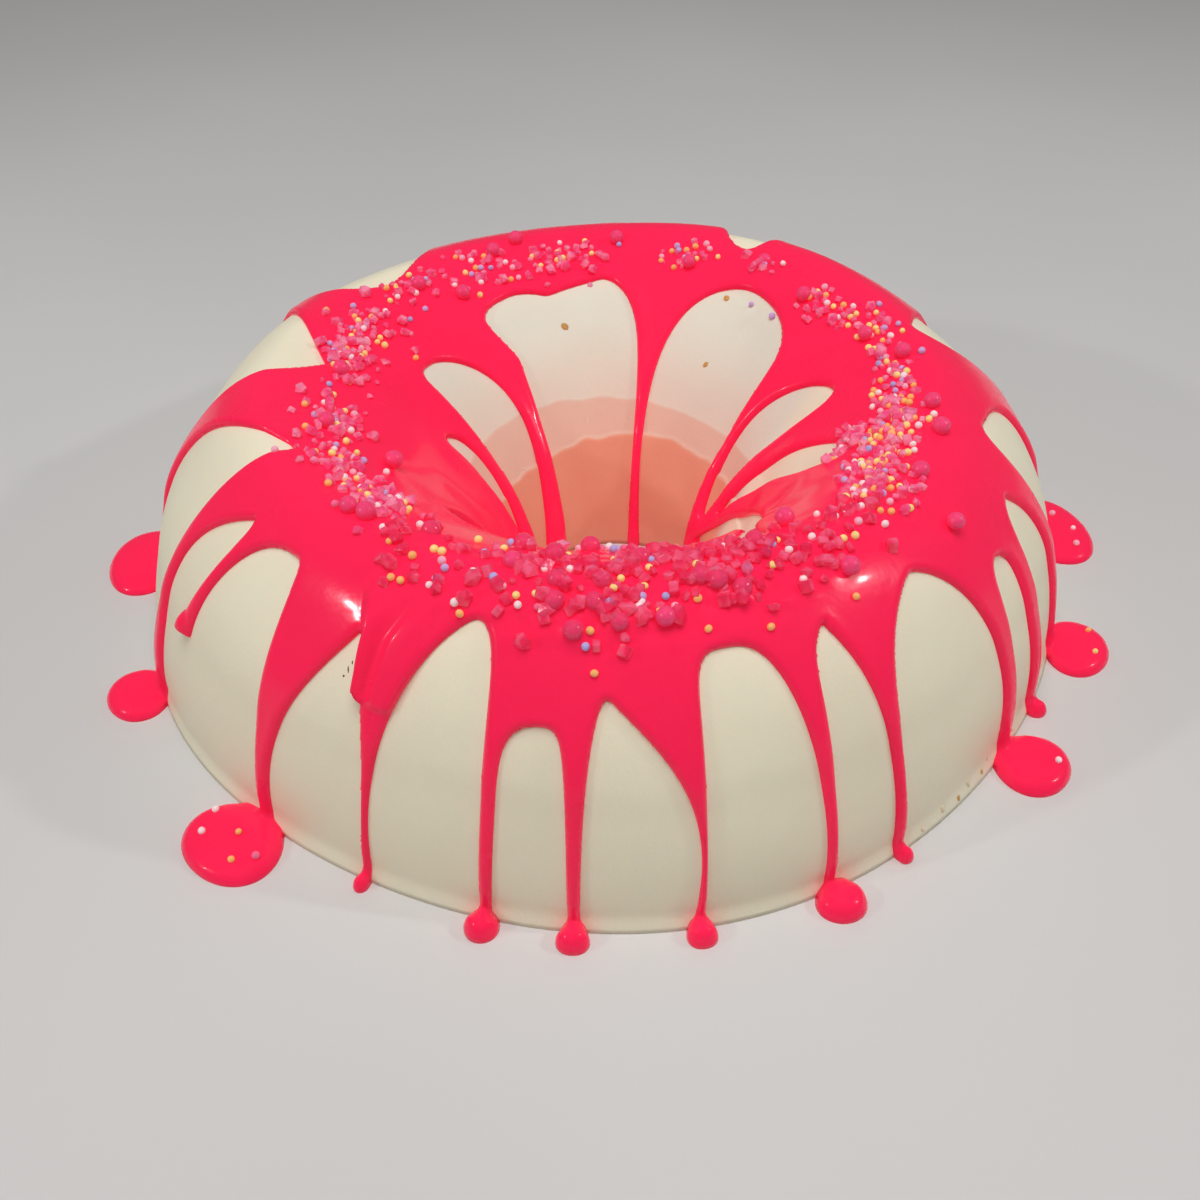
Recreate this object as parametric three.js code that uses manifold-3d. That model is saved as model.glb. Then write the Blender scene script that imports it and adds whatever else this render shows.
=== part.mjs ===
// A ring-shaped ice cream cake under smooth frosting, with a poured glaze that runs down its wall
// and into its hole. Millimetres and degrees, +Z up. The cake rests on Z = 0, with the origin under
// the middle of the whole, pools of glaze included. Angles turn anticlockwise from +X as seen from
// above, and -90 is the front. A reach is a distance over the frosting, from the foot of the wall
// up to the crest and down to the foot of the hole.
import * as THREE from 'three';
import { mergeVertices } from 'three/addons/utils/BufferGeometryUtils.js';
import Module from 'manifold-3d';

const wasm = await Module();
wasm.setup();

// Driving dimensions of the frosted ring, and where its axis stands.
const RING_AXIS = new THREE.Vector2(-2.3, -2.35);
const FOOT_RADIUS = 122;
const WALL_RADIUS = 120.5;
const WALL_START = 4;
const CREST_RADIUS = 83.5;
const CREST_HEIGHT = 65.8;
const SHOULDER_POWER = 1.65;
const THROAT_RADIUS = 77;
const NECK_RADIUS = 36;
const NECK_HEIGHT = 52.5;
const HOLE_RADIUS = 26;
const HOLE_SHIFT = new THREE.Vector2(5, -7.5);
const HOLE_LEAN = new THREE.Vector2(0, -6);

// Driving dimensions of the glaze: the clearance under it, its thickness, and how far the shapes
// that cut it reach past it.
const CLEARANCE = 0.3;
const GLAZE_THICKNESS = 1.3;
const CUT_MARGIN = 3;
const BELOW_FOOT = 2;

// How finely the ring and the cut-outs are faceted.
const RING_SEGMENTS = 40;
const WALL_STATIONS = 7;
const FUNNEL_STATIONS = 5;
const ARCH_ROWS = 5;
const DEGREES_PER_COLUMN = 9;
const PUDDLE_SEGMENTS = 10;
const PUDDLE_ROWS = 2;

// The hand-smoothed ring is uneven: so many waves round it, by this share, with a peak at an angle.
const WALL_WAVES = [
  { waves: 2, share: 0.0205, peak: -32 },
  { waves: 3, share: 0.0216, peak: -4 },
  { waves: 4, share: 0.0211, peak: 14 },
];
const HEIGHT_WAVES = [
  { waves: 1, share: 0.011, peak: 90 },
  { waves: 2, share: 0.0195, peak: 45 },
  { waves: 3, share: 0.016, peak: 48 },
];

// The bare openings between the drips. Each has an apex, as [angle, reach], and two sides, as
// [angle at the foot, angle that the side would have at the apex, lateness, roundness]. A late
// side stays straight until it is near the apex, and a round one meets the apex in a round arch.
// An opening starts below the foot, or at its own base.
const WALL_OPENINGS = [
  { apex: [-220.5, 85.5], left: [-236, -241, 8.3, 1.2], right: [-208, -209, 17, 1.3] },
  { apex: [-187, 92.5], left: [-204.5, -209.5, 5.8, 0.9], right: [-179, -175.5, 11, 0.9] },
  { apex: [-155.5, 85.5], left: [-174.5, -177, 4.6, 0.9], right: [-158.5, -152.5, 20, 4.1] },
  { apex: [-143.5, 68.5], left: [-155, -153.5, 6.8, 1], right: [-154.8, -142.5, 20, 2], base: 28 },
  { apex: [-150, 33.5], left: [-154.8, -154, 20, 6], right: [-145.3, -145.3, 20, 6] },
  { apex: [-134, 68], left: [-146, -151, 1.8, 2.2], right: [-131, -131.5, 20, 6] },
  { apex: [-119.5, 60], left: [-129, -131, 2.6, 0.9], right: [-116.3, -114.5, 2.9, 0.9] },
  { apex: [-105, 69.5], left: [-115, -116, 3.1, 1.3], right: [-102.5, -102, 10.6, 2] },
  { apex: [-96.5, 49.5], left: [-101.2, -100.5, 12.3, 2.2], right: [-93.3, -93.5, 4.7, 4.9] },
  { apex: [-89, 56], left: [-92, -92, 2.6, 1.9], right: [-80.6, -77.5, 3.5, 0.9] },
  { apex: [-75, 64], left: [-79.4, -79, 20, 3.5], right: [-66.4, -64.5, 1.8, 2.7] },
  { apex: [-62.5, 63.5], left: [-65.1, -65, 17.4, 1], right: [-57.2, -57.5, 4.6, 1] },
  { apex: [-47, 64.5], left: [-55.6, -56.5, 6, 1.2], right: [-37.2, -35.5, 3.7, 1.4] },
  { apex: [-31.5, 52.5], left: [-34.5, -33.5, 12.6, 2.4], right: [-28.3, -28, 16.4, 1.6] },
  { apex: [-21.5, 58.5], left: [-26, -24.5, 20, 1.3], right: [-16.8, -16, 5.9, 1] },
  { apex: [-11, 68.5], left: [-13.5, -14, 20, 2.6], right: [3, -1, 16.2, 1] },
  { apex: [13.5, 78], left: [6.5, 9, 14.5, 1.6], right: [23, 27.5, 5, 1.3] },
  { apex: [33, 62], left: [25.5, 27.5, 8, 1.6], right: [37, 39, 6, 1.4] },
  { apex: [44, 75], left: [40, 38.5, 9, 1.8], right: [48.5, 49, 5, 1.2] },
  { apex: [56.5, 85.5], left: [51.5, 50, 6, 1.6], right: [64, 65, 9, 2] },
  { apex: [72, 60], left: [66.5, 66, 5, 2], right: [77.5, 79.5, 4, 1.1] },
  { apex: [87, 73], left: [80, 79, 8, 1.3], right: [93.5, 94, 12, 2.4] },
  { apex: [100, 56], left: [95.5, 96, 6, 2.2], right: [105.5, 106, 3, 1.4] },
  { apex: [112, 66], left: [109, 107.5, 10, 1.5], right: [121, 117.5, 4, 1.2] },
];
const FUNNEL_OPENINGS = [
  { apex: [-138, 118], left: [-156, -150, 6, 1.5], right: [-128, -122, 6, 1.7] },
  { apex: [-100, 101], left: [-113, -107, 5, 1.6], right: [-97, -91, 10, 2] },
  { apex: [-75.8, 85.3], left: [-90, -79.5, 3, 1.6], right: [-72, -73, 5, 1.6] },
  { apex: [-63, 119], left: [-62, -66, 6, 2], right: [-20, -58, 6, 2] },
  { apex: [-63.5, 91], left: [-5, -74, 12, 2], right: [49, -100.5, 5.8, 0.6], base: 8 },
  { apex: [-17.5, 102.5], left: [46.5, -58, 1.8, 1.6], right: [41, 80, 0.8, 1.15], base: 20 },
  { apex: [8.5, 105.5], left: [44, -18.5, 1.7, 1.5], right: [25, 80, 1.55, 1.2], base: 15 },
  { apex: [50.5, 98], left: [44, 27, 9, 1.4], right: [74, 94, 1.6, 1.8] },
  { apex: [90.5, 99], left: [82.5, 77, 5, 1.7], right: [123.5, 119.5, 20, 0.65] },
  { apex: [114, 100.3], left: [103, 103, 30, 1.6], right: [96.5, 128.5, 30, 1], base: 54.5 },
  { apex: [148.5, 110.5], left: [141.5, 110.5, 3, 1.4], right: [147, 156, 20, 6] },
  { apex: [168.5, 126], left: [163, 147.5, 2.3, 1.8], right: [156, 170, 20, 6], base: 12 },
];

// The fold of glaze that lies over the rest above one drip, and the tip of the drip that stops
// half-way down the wall.
const FOLD = { left: -118.9, right: -113.7, bottom: 46, top: 66, thickness: 1.5 };
const SHORT_DRIP = { angle: -147.9, reach: 35.5, across: 2.7, up: 4.2, thickness: 1.2 };

// Where the drips end on the surface under the cake: how far their middle lies past the foot, and
// their half sizes across and along the way out, and their height.
const PUDDLES = [
  { angle: -206, past: 3, across: 5, out: 5, height: 3.4 },
  { angle: -182, past: 9, across: 15, out: 12, height: 3 },
  { angle: -157, past: 5.5, across: 9.5, out: 8.5, height: 3.2 },
  { angle: -130.5, past: 8.5, across: 13, out: 11, height: 3.4 },
  { angle: -115.7, past: 1.5, across: 2, out: 2.4, height: 3.4 },
  { angle: -101.9, past: 2.4, across: 4.1, out: 3.9, height: 4.6 },
  { angle: -92.7, past: 2.2, across: 3.9, out: 3.8, height: 4.6 },
  { angle: -80, past: 1.8, across: 3.6, out: 3.6, height: 4.4 },
  { angle: -65.4, past: 3.6, across: 6, out: 5.4, height: 4.4 },
  { angle: -56.2, past: 1.2, across: 2.1, out: 2.4, height: 3.6 },
  { angle: -35.9, past: 7, across: 10, out: 9.5, height: 3.4 },
  { angle: -27.4, past: 1.4, across: 2.6, out: 2.8, height: 3.8 },
  { angle: -15.2, past: 6.4, across: 11, out: 9, height: 3.2 },
  { angle: 7, past: 9, across: 16, out: 11.5, height: 3 },
  { angle: 24.3, past: 1.4, across: 3.4, out: 3.4, height: 3.8 },
  { angle: 38.5, past: 2.5, across: 5, out: 4.8, height: 4 },
  { angle: 50, past: 1, across: 2.8, out: 2.8, height: 3.6 },
  { angle: 65.3, past: 4, across: 7.5, out: 6, height: 3.8 },
  { angle: 78.8, past: 1.2, across: 3.6, out: 3.6, height: 4.2 },
  { angle: 94.5, past: 2.8, across: 5.6, out: 5.2, height: 4 },
  { angle: 107.3, past: 1, across: 4, out: 3.4, height: 3.8 },
  { angle: 122.5, past: 3, across: 6, out: 5.4, height: 4 },
];

// The wall's side of the ring's section, from its foot up to the crest.
class Wall extends THREE.Curve {
  getPoint(t) {
    const footShare = 0.06;
    if (t < footShare) {
      const rise = t / footShare;
      return new THREE.Vector2(THREE.MathUtils.lerp(FOOT_RADIUS, WALL_RADIUS, rise), WALL_START * rise);
    }
    const turn = ((t - footShare) / (1 - footShare)) * (Math.PI / 2);
    const power = 2 / SHOULDER_POWER;
    const outward = Math.max(Math.cos(turn), 0) ** power;
    return new THREE.Vector2(
      CREST_RADIUS + (WALL_RADIUS - CREST_RADIUS) * outward,
      WALL_START + (CREST_HEIGHT - WALL_START) * Math.sin(turn) ** power,
    );
  }
}

const wall = new Wall();
const funnel = new THREE.CubicBezierCurve(
  new THREE.Vector2(CREST_RADIUS, CREST_HEIGHT),
  new THREE.Vector2(THROAT_RADIUS, CREST_HEIGHT),
  new THREE.Vector2(NECK_RADIUS, NECK_HEIGHT),
  new THREE.Vector2(HOLE_RADIUS, 0),
);
const CREST_REACH = wall.getLength();
const WHOLE_REACH = CREST_REACH + funnel.getLength();

// The point of the smooth section at a reach, lifted square off the frosting. Beyond either foot
// the section runs straight down.
function sectionPoint(reach, lift) {
  if (reach <= 0) {
    return new THREE.Vector2(FOOT_RADIUS + lift, reach);
  }
  if (reach >= WHOLE_REACH) {
    return new THREE.Vector2(HOLE_RADIUS - lift, WHOLE_REACH - reach);
  }
  const onWall = reach < CREST_REACH;
  const side = onWall ? wall : funnel;
  const along = onWall ? reach / CREST_REACH : (reach - CREST_REACH) / (WHOLE_REACH - CREST_REACH);
  const tangent = side.getTangentAt(along);
  return side.getPointAt(along).add(new THREE.Vector2(tangent.y, -tangent.x).multiplyScalar(lift));
}

function unevenness(waveList, angle) {
  const shares = waveList.map(({ waves, share, peak }) => (
    share * Math.cos(THREE.MathUtils.degToRad(waves * (angle - peak)))
  ));
  return shares.reduce((sum, share) => sum + share, 0);
}

// A point on, over or under the real, uneven frosting. The wall's unevenness fades out towards the
// crest, and the hole drifts off the ring's axis on its way down and leans near its foot.
function surfacePoint(angle, reach, lift) {
  const point = sectionPoint(reach, lift);
  const turn = THREE.MathUtils.degToRad(angle);
  const height = point.y * (1 + (unevenness(HEIGHT_WAVES, angle) * point.y) / CREST_HEIGHT);
  const depth = THREE.MathUtils.clamp((reach - CREST_REACH) / (WHOLE_REACH - CREST_REACH), 0, 1);
  const middle = RING_AXIS.clone()
    .addScaledVector(HOLE_SHIFT, Math.sin((depth * Math.PI) / 2))
    .addScaledVector(HOLE_LEAN, depth ** 3);
  let radius = point.x;
  if (reach < CREST_REACH) {
    const fadeStart = 1.6 * (sectionPoint(reach, 0).x - CREST_RADIUS);
    const fade = THREE.MathUtils.smoothstep(fadeStart, 0, WALL_RADIUS - CREST_RADIUS);
    radius *= 1 + unevenness(WALL_WAVES, angle) * fade;
  }
  return new THREE.Vector3(middle.x + radius * Math.cos(turn), middle.y + radius * Math.sin(turn), height);
}

function toManifold(geometry) {
  const bare = geometry.clone();
  bare.deleteAttribute('normal');
  bare.deleteAttribute('uv');
  const merged = mergeVertices(bare, 1e-4);
  return new wasm.Manifold(new wasm.Mesh({
    numProp: 3,
    vertProperties: merged.attributes.position.array,
    triVerts: new Uint32Array(merged.index.array),
  }));
}

function toGeometry(manifold) {
  const { vertProperties, triVerts } = manifold.getMesh();
  const geometry = new THREE.BufferGeometry();
  geometry.setAttribute('position', new THREE.BufferAttribute(vertProperties, 3));
  geometry.setIndex(new THREE.BufferAttribute(triVerts, 1));
  geometry.computeVertexNormals();
  return geometry;
}

// The whole ring, grown by a lift, with its feet carried straight down by a drop.
function ring(lift, drop) {
  const stations = [];
  for (let i = 0; i <= WALL_STATIONS; i += 1) {
    stations.push((CREST_REACH * i) / WALL_STATIONS);
  }
  for (let i = 1; i <= FUNNEL_STATIONS; i += 1) {
    stations.push(THREE.MathUtils.lerp(CREST_REACH, WHOLE_REACH, i / FUNNEL_STATIONS));
  }
  if (drop > 0) {
    stations.unshift(-drop);
    stations.push(WHOLE_REACH + drop);
  }
  stations.push(stations[0]);
  const geometry = new THREE.LatheGeometry(stations.map((reach) => sectionPoint(reach, lift)), RING_SEGMENTS);
  const positions = geometry.attributes.position;
  for (let i = 0; i < positions.count; i += 1) {
    const segment = Math.floor(i / stations.length) % RING_SEGMENTS;
    const point = surfacePoint((360 * segment) / RING_SEGMENTS, stations[i % stations.length], lift);
    positions.setXYZ(i, point.x, point.y, point.z);
  }
  return toManifold(geometry);
}

// A block wrapped onto the frosting: place(across, up, out) takes shares from 0 to 1.
function wrappedBlock(columns, rows, place) {
  const geometry = new THREE.BoxGeometry(1, 1, 1, columns, rows, 1);
  const positions = geometry.attributes.position;
  for (let i = 0; i < positions.count; i += 1) {
    const point = place(positions.getX(i) + 0.5, positions.getY(i) + 0.5, positions.getZ(i) + 0.5);
    positions.setXYZ(i, point.x, point.y, point.z);
  }
  return toManifold(geometry);
}

// The angle of an opening's side at a share of the way from the foot to its apex.
function sideAngle([foot, shoulder, late, round], apexAngle, share) {
  const bend = 1 - (1 - share ** late) ** (1 / round);
  return THREE.MathUtils.lerp(foot, shoulder, share) + (apexAngle - shoulder) * bend;
}

// The shape that cuts an opening out of the glaze. Its foot is at reach 0 on the wall, and at the
// whole reach in the hole. There a row further up has a smaller reach, so its columns run the
// other way to keep its faces pointing out.
function opening(foot, { apex, left, right, base = -BELOW_FOOT }) {
  const [apexAngle, apexReach] = apex;
  const climbToApex = Math.abs(apexReach - foot);
  const upward = Math.sign(apexReach - foot);
  const columns = Math.max(1, Math.round((right[0] - left[0]) / DEGREES_PER_COLUMN));
  const narrowest = 0.3;
  return wrappedBlock(columns, ARCH_ROWS, (across, up, out) => {
    const climb = THREE.MathUtils.lerp(base, climbToApex, Math.sin((up * Math.PI) / 2));
    const share = THREE.MathUtils.clamp(climb / climbToApex, 0, 1);
    const from = sideAngle(left, apexAngle, share);
    const to = Math.max(sideAngle(right, apexAngle, share), from + narrowest);
    const angle = THREE.MathUtils.lerp(from, to, upward > 0 ? across : 1 - across);
    const lift = THREE.MathUtils.lerp(-CUT_MARGIN, GLAZE_THICKNESS + CUT_MARGIN, out);
    return surfacePoint(angle, foot + upward * climb, lift);
  });
}

function fold() {
  const inside = CLEARANCE + GLAZE_THICKNESS / 2;
  return wrappedBlock(2, 3, (across, up, out) => {
    const middle = 1 - (2 * across - 1) ** 2;
    const height = GLAZE_THICKNESS / 2 + FOLD.thickness * (0.4 + 0.6 * middle) * (1 - up * up);
    const reach = THREE.MathUtils.lerp(FOLD.bottom, FOLD.top, up);
    const angle = THREE.MathUtils.lerp(FOLD.left, FOLD.right, across);
    return surfacePoint(angle, reach, inside + out * height);
  });
}

// A low dome on a flat base, its half sizes along X, Y and Z.
function dome(x, y, z) {
  const section = [new THREE.Vector2(0, 0)];
  for (let i = 0; i <= PUDDLE_ROWS; i += 1) {
    const turn = (i / PUDDLE_ROWS) * (Math.PI / 2);
    section.push(new THREE.Vector2(i === PUDDLE_ROWS ? 0 : Math.cos(turn), Math.sin(turn)));
  }
  const geometry = new THREE.LatheGeometry(section, PUDDLE_SEGMENTS);
  geometry.rotateX(Math.PI / 2);
  geometry.scale(x, y, z);
  return geometry;
}

function puddle({ angle, past, across, out, height }) {
  const geometry = dome(out, across, height);
  const middle = surfacePoint(angle, 0, past);
  geometry.rotateZ(THREE.MathUtils.degToRad(angle));
  geometry.translate(middle.x, middle.y, 0);
  return toManifold(geometry);
}

// The rounded tip of the drip that stops half-way, as a dome standing on the frosting.
function shortDripTip() {
  const { angle, reach, across, up, thickness } = SHORT_DRIP;
  const geometry = dome(across, up, GLAZE_THICKNESS + thickness);
  const base = surfacePoint(angle, reach, 0);
  const outward = surfacePoint(angle, reach, 1).sub(base).normalize();
  const upward = surfacePoint(angle, reach + 1, 0).sub(base).normalize();
  const sideways = upward.clone().cross(outward).normalize();
  const frame = new THREE.Matrix4().makeBasis(sideways, outward.clone().cross(sideways), outward);
  geometry.applyMatrix4(frame.setPosition(base));
  return toManifold(geometry);
}

function glaze() {
  let coat = ring(CLEARANCE + GLAZE_THICKNESS, 0);
  for (const shape of WALL_OPENINGS) {
    coat = coat.subtract(opening(0, shape));
  }
  for (const shape of FUNNEL_OPENINGS) {
    coat = coat.subtract(opening(WHOLE_REACH, shape));
  }
  for (const shape of PUDDLES) {
    coat = coat.add(puddle(shape));
  }
  coat = coat.add(fold()).add(shortDripTip());
  return coat.subtract(ring(CLEARANCE, BELOW_FOOT));
}

const frosting = new THREE.MeshStandardMaterial({ color: 0xf2e5cc, roughness: 0.62, metalness: 0 });
const syrup = new THREE.MeshStandardMaterial({ color: 0xe5143f, roughness: 0.16, metalness: 0 });

const cakeMesh = new THREE.Mesh(toGeometry(ring(0, 0)), frosting);
cakeMesh.name = 'frosted_ring_cake';

const glazeMesh = new THREE.Mesh(toGeometry(glaze()), syrup);
glazeMesh.name = 'poured_glaze';

const group = new THREE.Group();
group.add(cakeMesh, glazeMesh);

export default group;
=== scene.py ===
"""A ring-shaped ice cream cake: frosting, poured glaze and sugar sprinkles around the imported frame."""

import math
from functools import cache

import bmesh
import bpy
import numpy as np
from mathutils import Matrix, Vector
from mathutils.kdtree import KDTree


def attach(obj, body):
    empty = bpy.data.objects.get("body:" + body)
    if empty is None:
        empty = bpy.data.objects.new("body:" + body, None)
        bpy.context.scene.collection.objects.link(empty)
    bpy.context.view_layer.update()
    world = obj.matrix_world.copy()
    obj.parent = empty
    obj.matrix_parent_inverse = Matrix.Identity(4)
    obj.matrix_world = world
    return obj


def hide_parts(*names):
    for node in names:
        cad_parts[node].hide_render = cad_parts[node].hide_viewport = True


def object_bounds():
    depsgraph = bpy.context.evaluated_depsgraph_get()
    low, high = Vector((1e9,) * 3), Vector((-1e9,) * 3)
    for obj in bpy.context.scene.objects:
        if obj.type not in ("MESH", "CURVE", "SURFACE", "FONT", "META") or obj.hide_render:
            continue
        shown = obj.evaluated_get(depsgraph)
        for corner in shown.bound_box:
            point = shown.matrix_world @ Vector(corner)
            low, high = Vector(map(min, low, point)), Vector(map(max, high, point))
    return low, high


bl_info = {
    "name": "Ring ice cream cake",
    "version": (1, 0, 0),
    "blender": (4, 5, 0),
    "location": "3D View > Sidebar > Cake",
    "description": "Frosting, poured glaze and sprinkles of a ring-shaped ice cream cake",
    "category": "Object",
}

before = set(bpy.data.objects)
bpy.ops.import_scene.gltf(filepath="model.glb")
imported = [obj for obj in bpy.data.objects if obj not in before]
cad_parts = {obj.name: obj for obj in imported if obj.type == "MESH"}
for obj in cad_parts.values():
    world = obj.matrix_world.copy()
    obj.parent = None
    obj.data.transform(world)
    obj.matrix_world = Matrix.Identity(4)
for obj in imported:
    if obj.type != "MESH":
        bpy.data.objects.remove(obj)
CAD_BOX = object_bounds()
BODY = "root"
MM = 0.001

# The uneven frosting surface, in the frame's own numbers (millimetres and degrees). A reach is a
# distance over the frosting, from the foot of the wall up to the crest and down into the hole.
RING_AXIS = (-2.3, -2.35)
FOOT_RADIUS = 122.0
WALL_RADIUS = 120.5
WALL_START = 4.0
CREST_RADIUS = 83.5
CREST_HEIGHT = 65.8
SHOULDER_POWER = 1.65
THROAT_RADIUS = 77.0
NECK_RADIUS = 36.0
NECK_HEIGHT = 52.5
HOLE_RADIUS = 26.0
HOLE_SHIFT = (5.0, -7.5)
HOLE_LEAN = (0.0, -6.0)
WALL_WAVES = ((2, 0.0205, -32), (3, 0.0216, -4), (4, 0.0211, 14))
HEIGHT_WAVES = ((1, 0.011, 90), (2, 0.0195, 45), (3, 0.016, 48))

# The bare openings between the drips: apex, left side, right side and the height that they start
# from, where that isn't the foot. A side is the angle at the foot, the angle that it would have at
# the apex, its lateness and its roundness.
WALL_OPENINGS = (
    ((-220.5, 85.5), (-236, -241, 8.3, 1.2), (-208, -209, 17, 1.3)),
    ((-187, 92.5), (-204.5, -209.5, 5.8, 0.9), (-179, -175.5, 11, 0.9)),
    ((-155.5, 85.5), (-174.5, -177, 4.6, 0.9), (-158.5, -152.5, 20, 4.1)),
    ((-143.5, 68.5), (-155, -153.5, 6.8, 1), (-154.8, -142.5, 20, 2), 28),
    ((-150, 33.5), (-154.8, -154, 20, 6), (-145.3, -145.3, 20, 6)),
    ((-134, 68), (-146, -151, 1.8, 2.2), (-131, -131.5, 20, 6)),
    ((-119.5, 60), (-129, -131, 2.6, 0.9), (-116.3, -114.5, 2.9, 0.9)),
    ((-105, 69.5), (-115, -116, 3.1, 1.3), (-102.5, -102, 10.6, 2)),
    ((-96.5, 49.5), (-101.2, -100.5, 12.3, 2.2), (-93.3, -93.5, 4.7, 4.9)),
    ((-89, 56), (-92, -92, 2.6, 1.9), (-80.6, -77.5, 3.5, 0.9)),
    ((-75, 64), (-79.4, -79, 20, 3.5), (-66.4, -64.5, 1.8, 2.7)),
    ((-62.5, 63.5), (-65.1, -65, 17.4, 1), (-57.2, -57.5, 4.6, 1)),
    ((-47, 64.5), (-55.6, -56.5, 6, 1.2), (-37.2, -35.5, 3.7, 1.4)),
    ((-31.5, 52.5), (-34.5, -33.5, 12.6, 2.4), (-28.3, -28, 16.4, 1.6)),
    ((-21.5, 58.5), (-26, -24.5, 20, 1.3), (-16.8, -16, 5.9, 1)),
    ((-11, 68.5), (-13.5, -14, 20, 2.6), (3, -1, 16.2, 1)),
    ((13.5, 78), (6.5, 9, 14.5, 1.6), (23, 27.5, 5, 1.3)),
    ((33, 62), (25.5, 27.5, 8, 1.6), (37, 39, 6, 1.4)),
    ((44, 75), (40, 38.5, 9, 1.8), (48.5, 49, 5, 1.2)),
    ((56.5, 85.5), (51.5, 50, 6, 1.6), (64, 65, 9, 2)),
    ((72, 60), (66.5, 66, 5, 2), (77.5, 79.5, 4, 1.1)),
    ((87, 73), (80, 79, 8, 1.3), (93.5, 94, 12, 2.4)),
    ((100, 56), (95.5, 96, 6, 2.2), (105.5, 106, 3, 1.4)),
    ((112, 66), (109, 107.5, 10, 1.5), (121, 117.5, 4, 1.2)),
)
FUNNEL_OPENINGS = (
    ((-138, 118), (-156, -150, 6, 1.5), (-128, -122, 6, 1.7)),
    ((-100, 101), (-113, -107, 5, 1.6), (-97, -91, 10, 2)),
    ((-75.8, 85.3), (-90, -79.5, 3, 1.6), (-72, -73, 5, 1.6)),
    ((-63, 119), (-62, -66, 6, 2), (-20, -58, 6, 2)),
    ((-63.5, 91), (-5, -74, 12, 2), (49, -100.5, 5.8, 0.6), 8),
    ((-17.5, 102.5), (46.5, -58, 1.8, 1.6), (41, 80, 0.8, 1.15), 20),
    ((8.5, 105.5), (44, -18.5, 1.7, 1.5), (25, 80, 1.55, 1.2), 15),
    ((50.5, 98), (44, 27, 9, 1.4), (74, 94, 1.6, 1.8)),
    ((90.5, 99), (82.5, 77, 5, 1.7), (123.5, 119.5, 20, 0.65)),
    ((114, 100.3), (103, 103, 30, 1.6), (96.5, 128.5, 30, 1), 54.5),
    ((148.5, 110.5), (141.5, 110.5, 3, 1.4), (147, 156, 20, 6)),
    ((168.5, 126), (163, 147.5, 2.3, 1.8), (156, 170, 20, 6), 12),
)
NARROWEST_OPENING = 0.3
BELOW_FOOT = -2.0

# How far around the foot the glaze turns from standing off the wall to standing off the floor.
CORNER = 6.0

# Where the drips end on the surface under the cake: angle, how far past the foot, half sizes
# across and outwards, and height.
POOL_SIZES = (
    (-206, 3, 5, 5, 3.4), (-182, 9, 15, 12, 3), (-157, 5.5, 9.5, 8.5, 3.2),
    (-130.5, 8.5, 13, 11, 3.4), (-115.7, 1.5, 2, 2.4, 3.4), (-101.9, 2.4, 4.1, 3.9, 4.6),
    (-92.7, 2.2, 3.9, 3.8, 4.6), (-80, 1.8, 3.6, 3.6, 4.4), (-65.4, 3.6, 6, 5.4, 4.4),
    (-56.2, 1.2, 2.1, 2.4, 3.6), (-35.9, 7, 10, 9.5, 3.4), (-27.4, 1.4, 2.6, 2.8, 3.8),
    (-15.2, 6.4, 11, 9, 3.2), (7, 9, 16, 11.5, 3), (24.3, 1.4, 3.4, 3.4, 3.8),
    (38.5, 2.5, 5, 4.8, 4), (50, 1, 2.8, 2.8, 3.6), (65.3, 4, 7.5, 6, 3.8),
    (78.8, 1.2, 3.6, 3.6, 4.2), (94.5, 2.8, 5.6, 5.2, 4), (107.3, 1, 4, 3.4, 3.8),
    (122.5, 3, 6, 5.4, 4),
)


def smoothstep(value, low, high):
    share = np.clip((value - low) / (high - low), 0.0, 1.0)
    return share * share * (3.0 - 2.0 * share)


def section_tables(steps=1500):
    """The ring's section by arc length: reach, radius and height, from the wall's foot to the hole's."""
    share = np.linspace(0.0, 1.0, steps)
    turn = share * math.pi / 2
    power = 2 / SHOULDER_POWER
    radius = CREST_RADIUS + (WALL_RADIUS - CREST_RADIUS) * np.maximum(np.cos(turn), 0.0) ** power
    height = WALL_START + (CREST_HEIGHT - WALL_START) * np.sin(turn) ** power
    radius = np.concatenate(([FOOT_RADIUS], radius))
    height = np.concatenate(([0.0], height))
    wall = np.concatenate(([0.0], np.cumsum(np.hypot(np.diff(radius), np.diff(height)))))
    a, b, c, d = (1 - share) ** 3, 3 * share * (1 - share) ** 2, 3 * share ** 2 * (1 - share), share ** 3
    inner_radius = a * CREST_RADIUS + b * THROAT_RADIUS + c * NECK_RADIUS + d * HOLE_RADIUS
    inner_height = (a + b) * CREST_HEIGHT + c * NECK_HEIGHT
    funnel = wall[-1] + np.cumsum(np.hypot(np.diff(inner_radius), np.diff(inner_height)))
    reach = np.concatenate((wall, funnel))
    radius = np.concatenate((radius, inner_radius[1:]))
    height = np.concatenate((height, inner_height[1:]))
    return reach, radius, height, wall[-1]


TABLE_REACH, TABLE_RADIUS, TABLE_HEIGHT, CREST_REACH = section_tables()
WHOLE_REACH = TABLE_REACH[-1]


def unevenness(waves, angle):
    return sum(share * np.cos(np.radians(count * (angle - peak))) for count, share, peak in waves)


def ripple(angle, along, seed, size):
    """A smooth random relief of about one unit each way, repeating once round the ring."""
    draw = np.random.default_rng(seed)
    total = 0.0
    for _ in range(6):
        turns = draw.integers(1, max(2, int(360 / size)))
        pitch = draw.uniform(-1.0, 1.0) * 360 / size
        phase = draw.uniform(0, 360)
        total = total + np.sin(np.radians(turns * angle + pitch * along + phase))
    return total / 2.5


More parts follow.
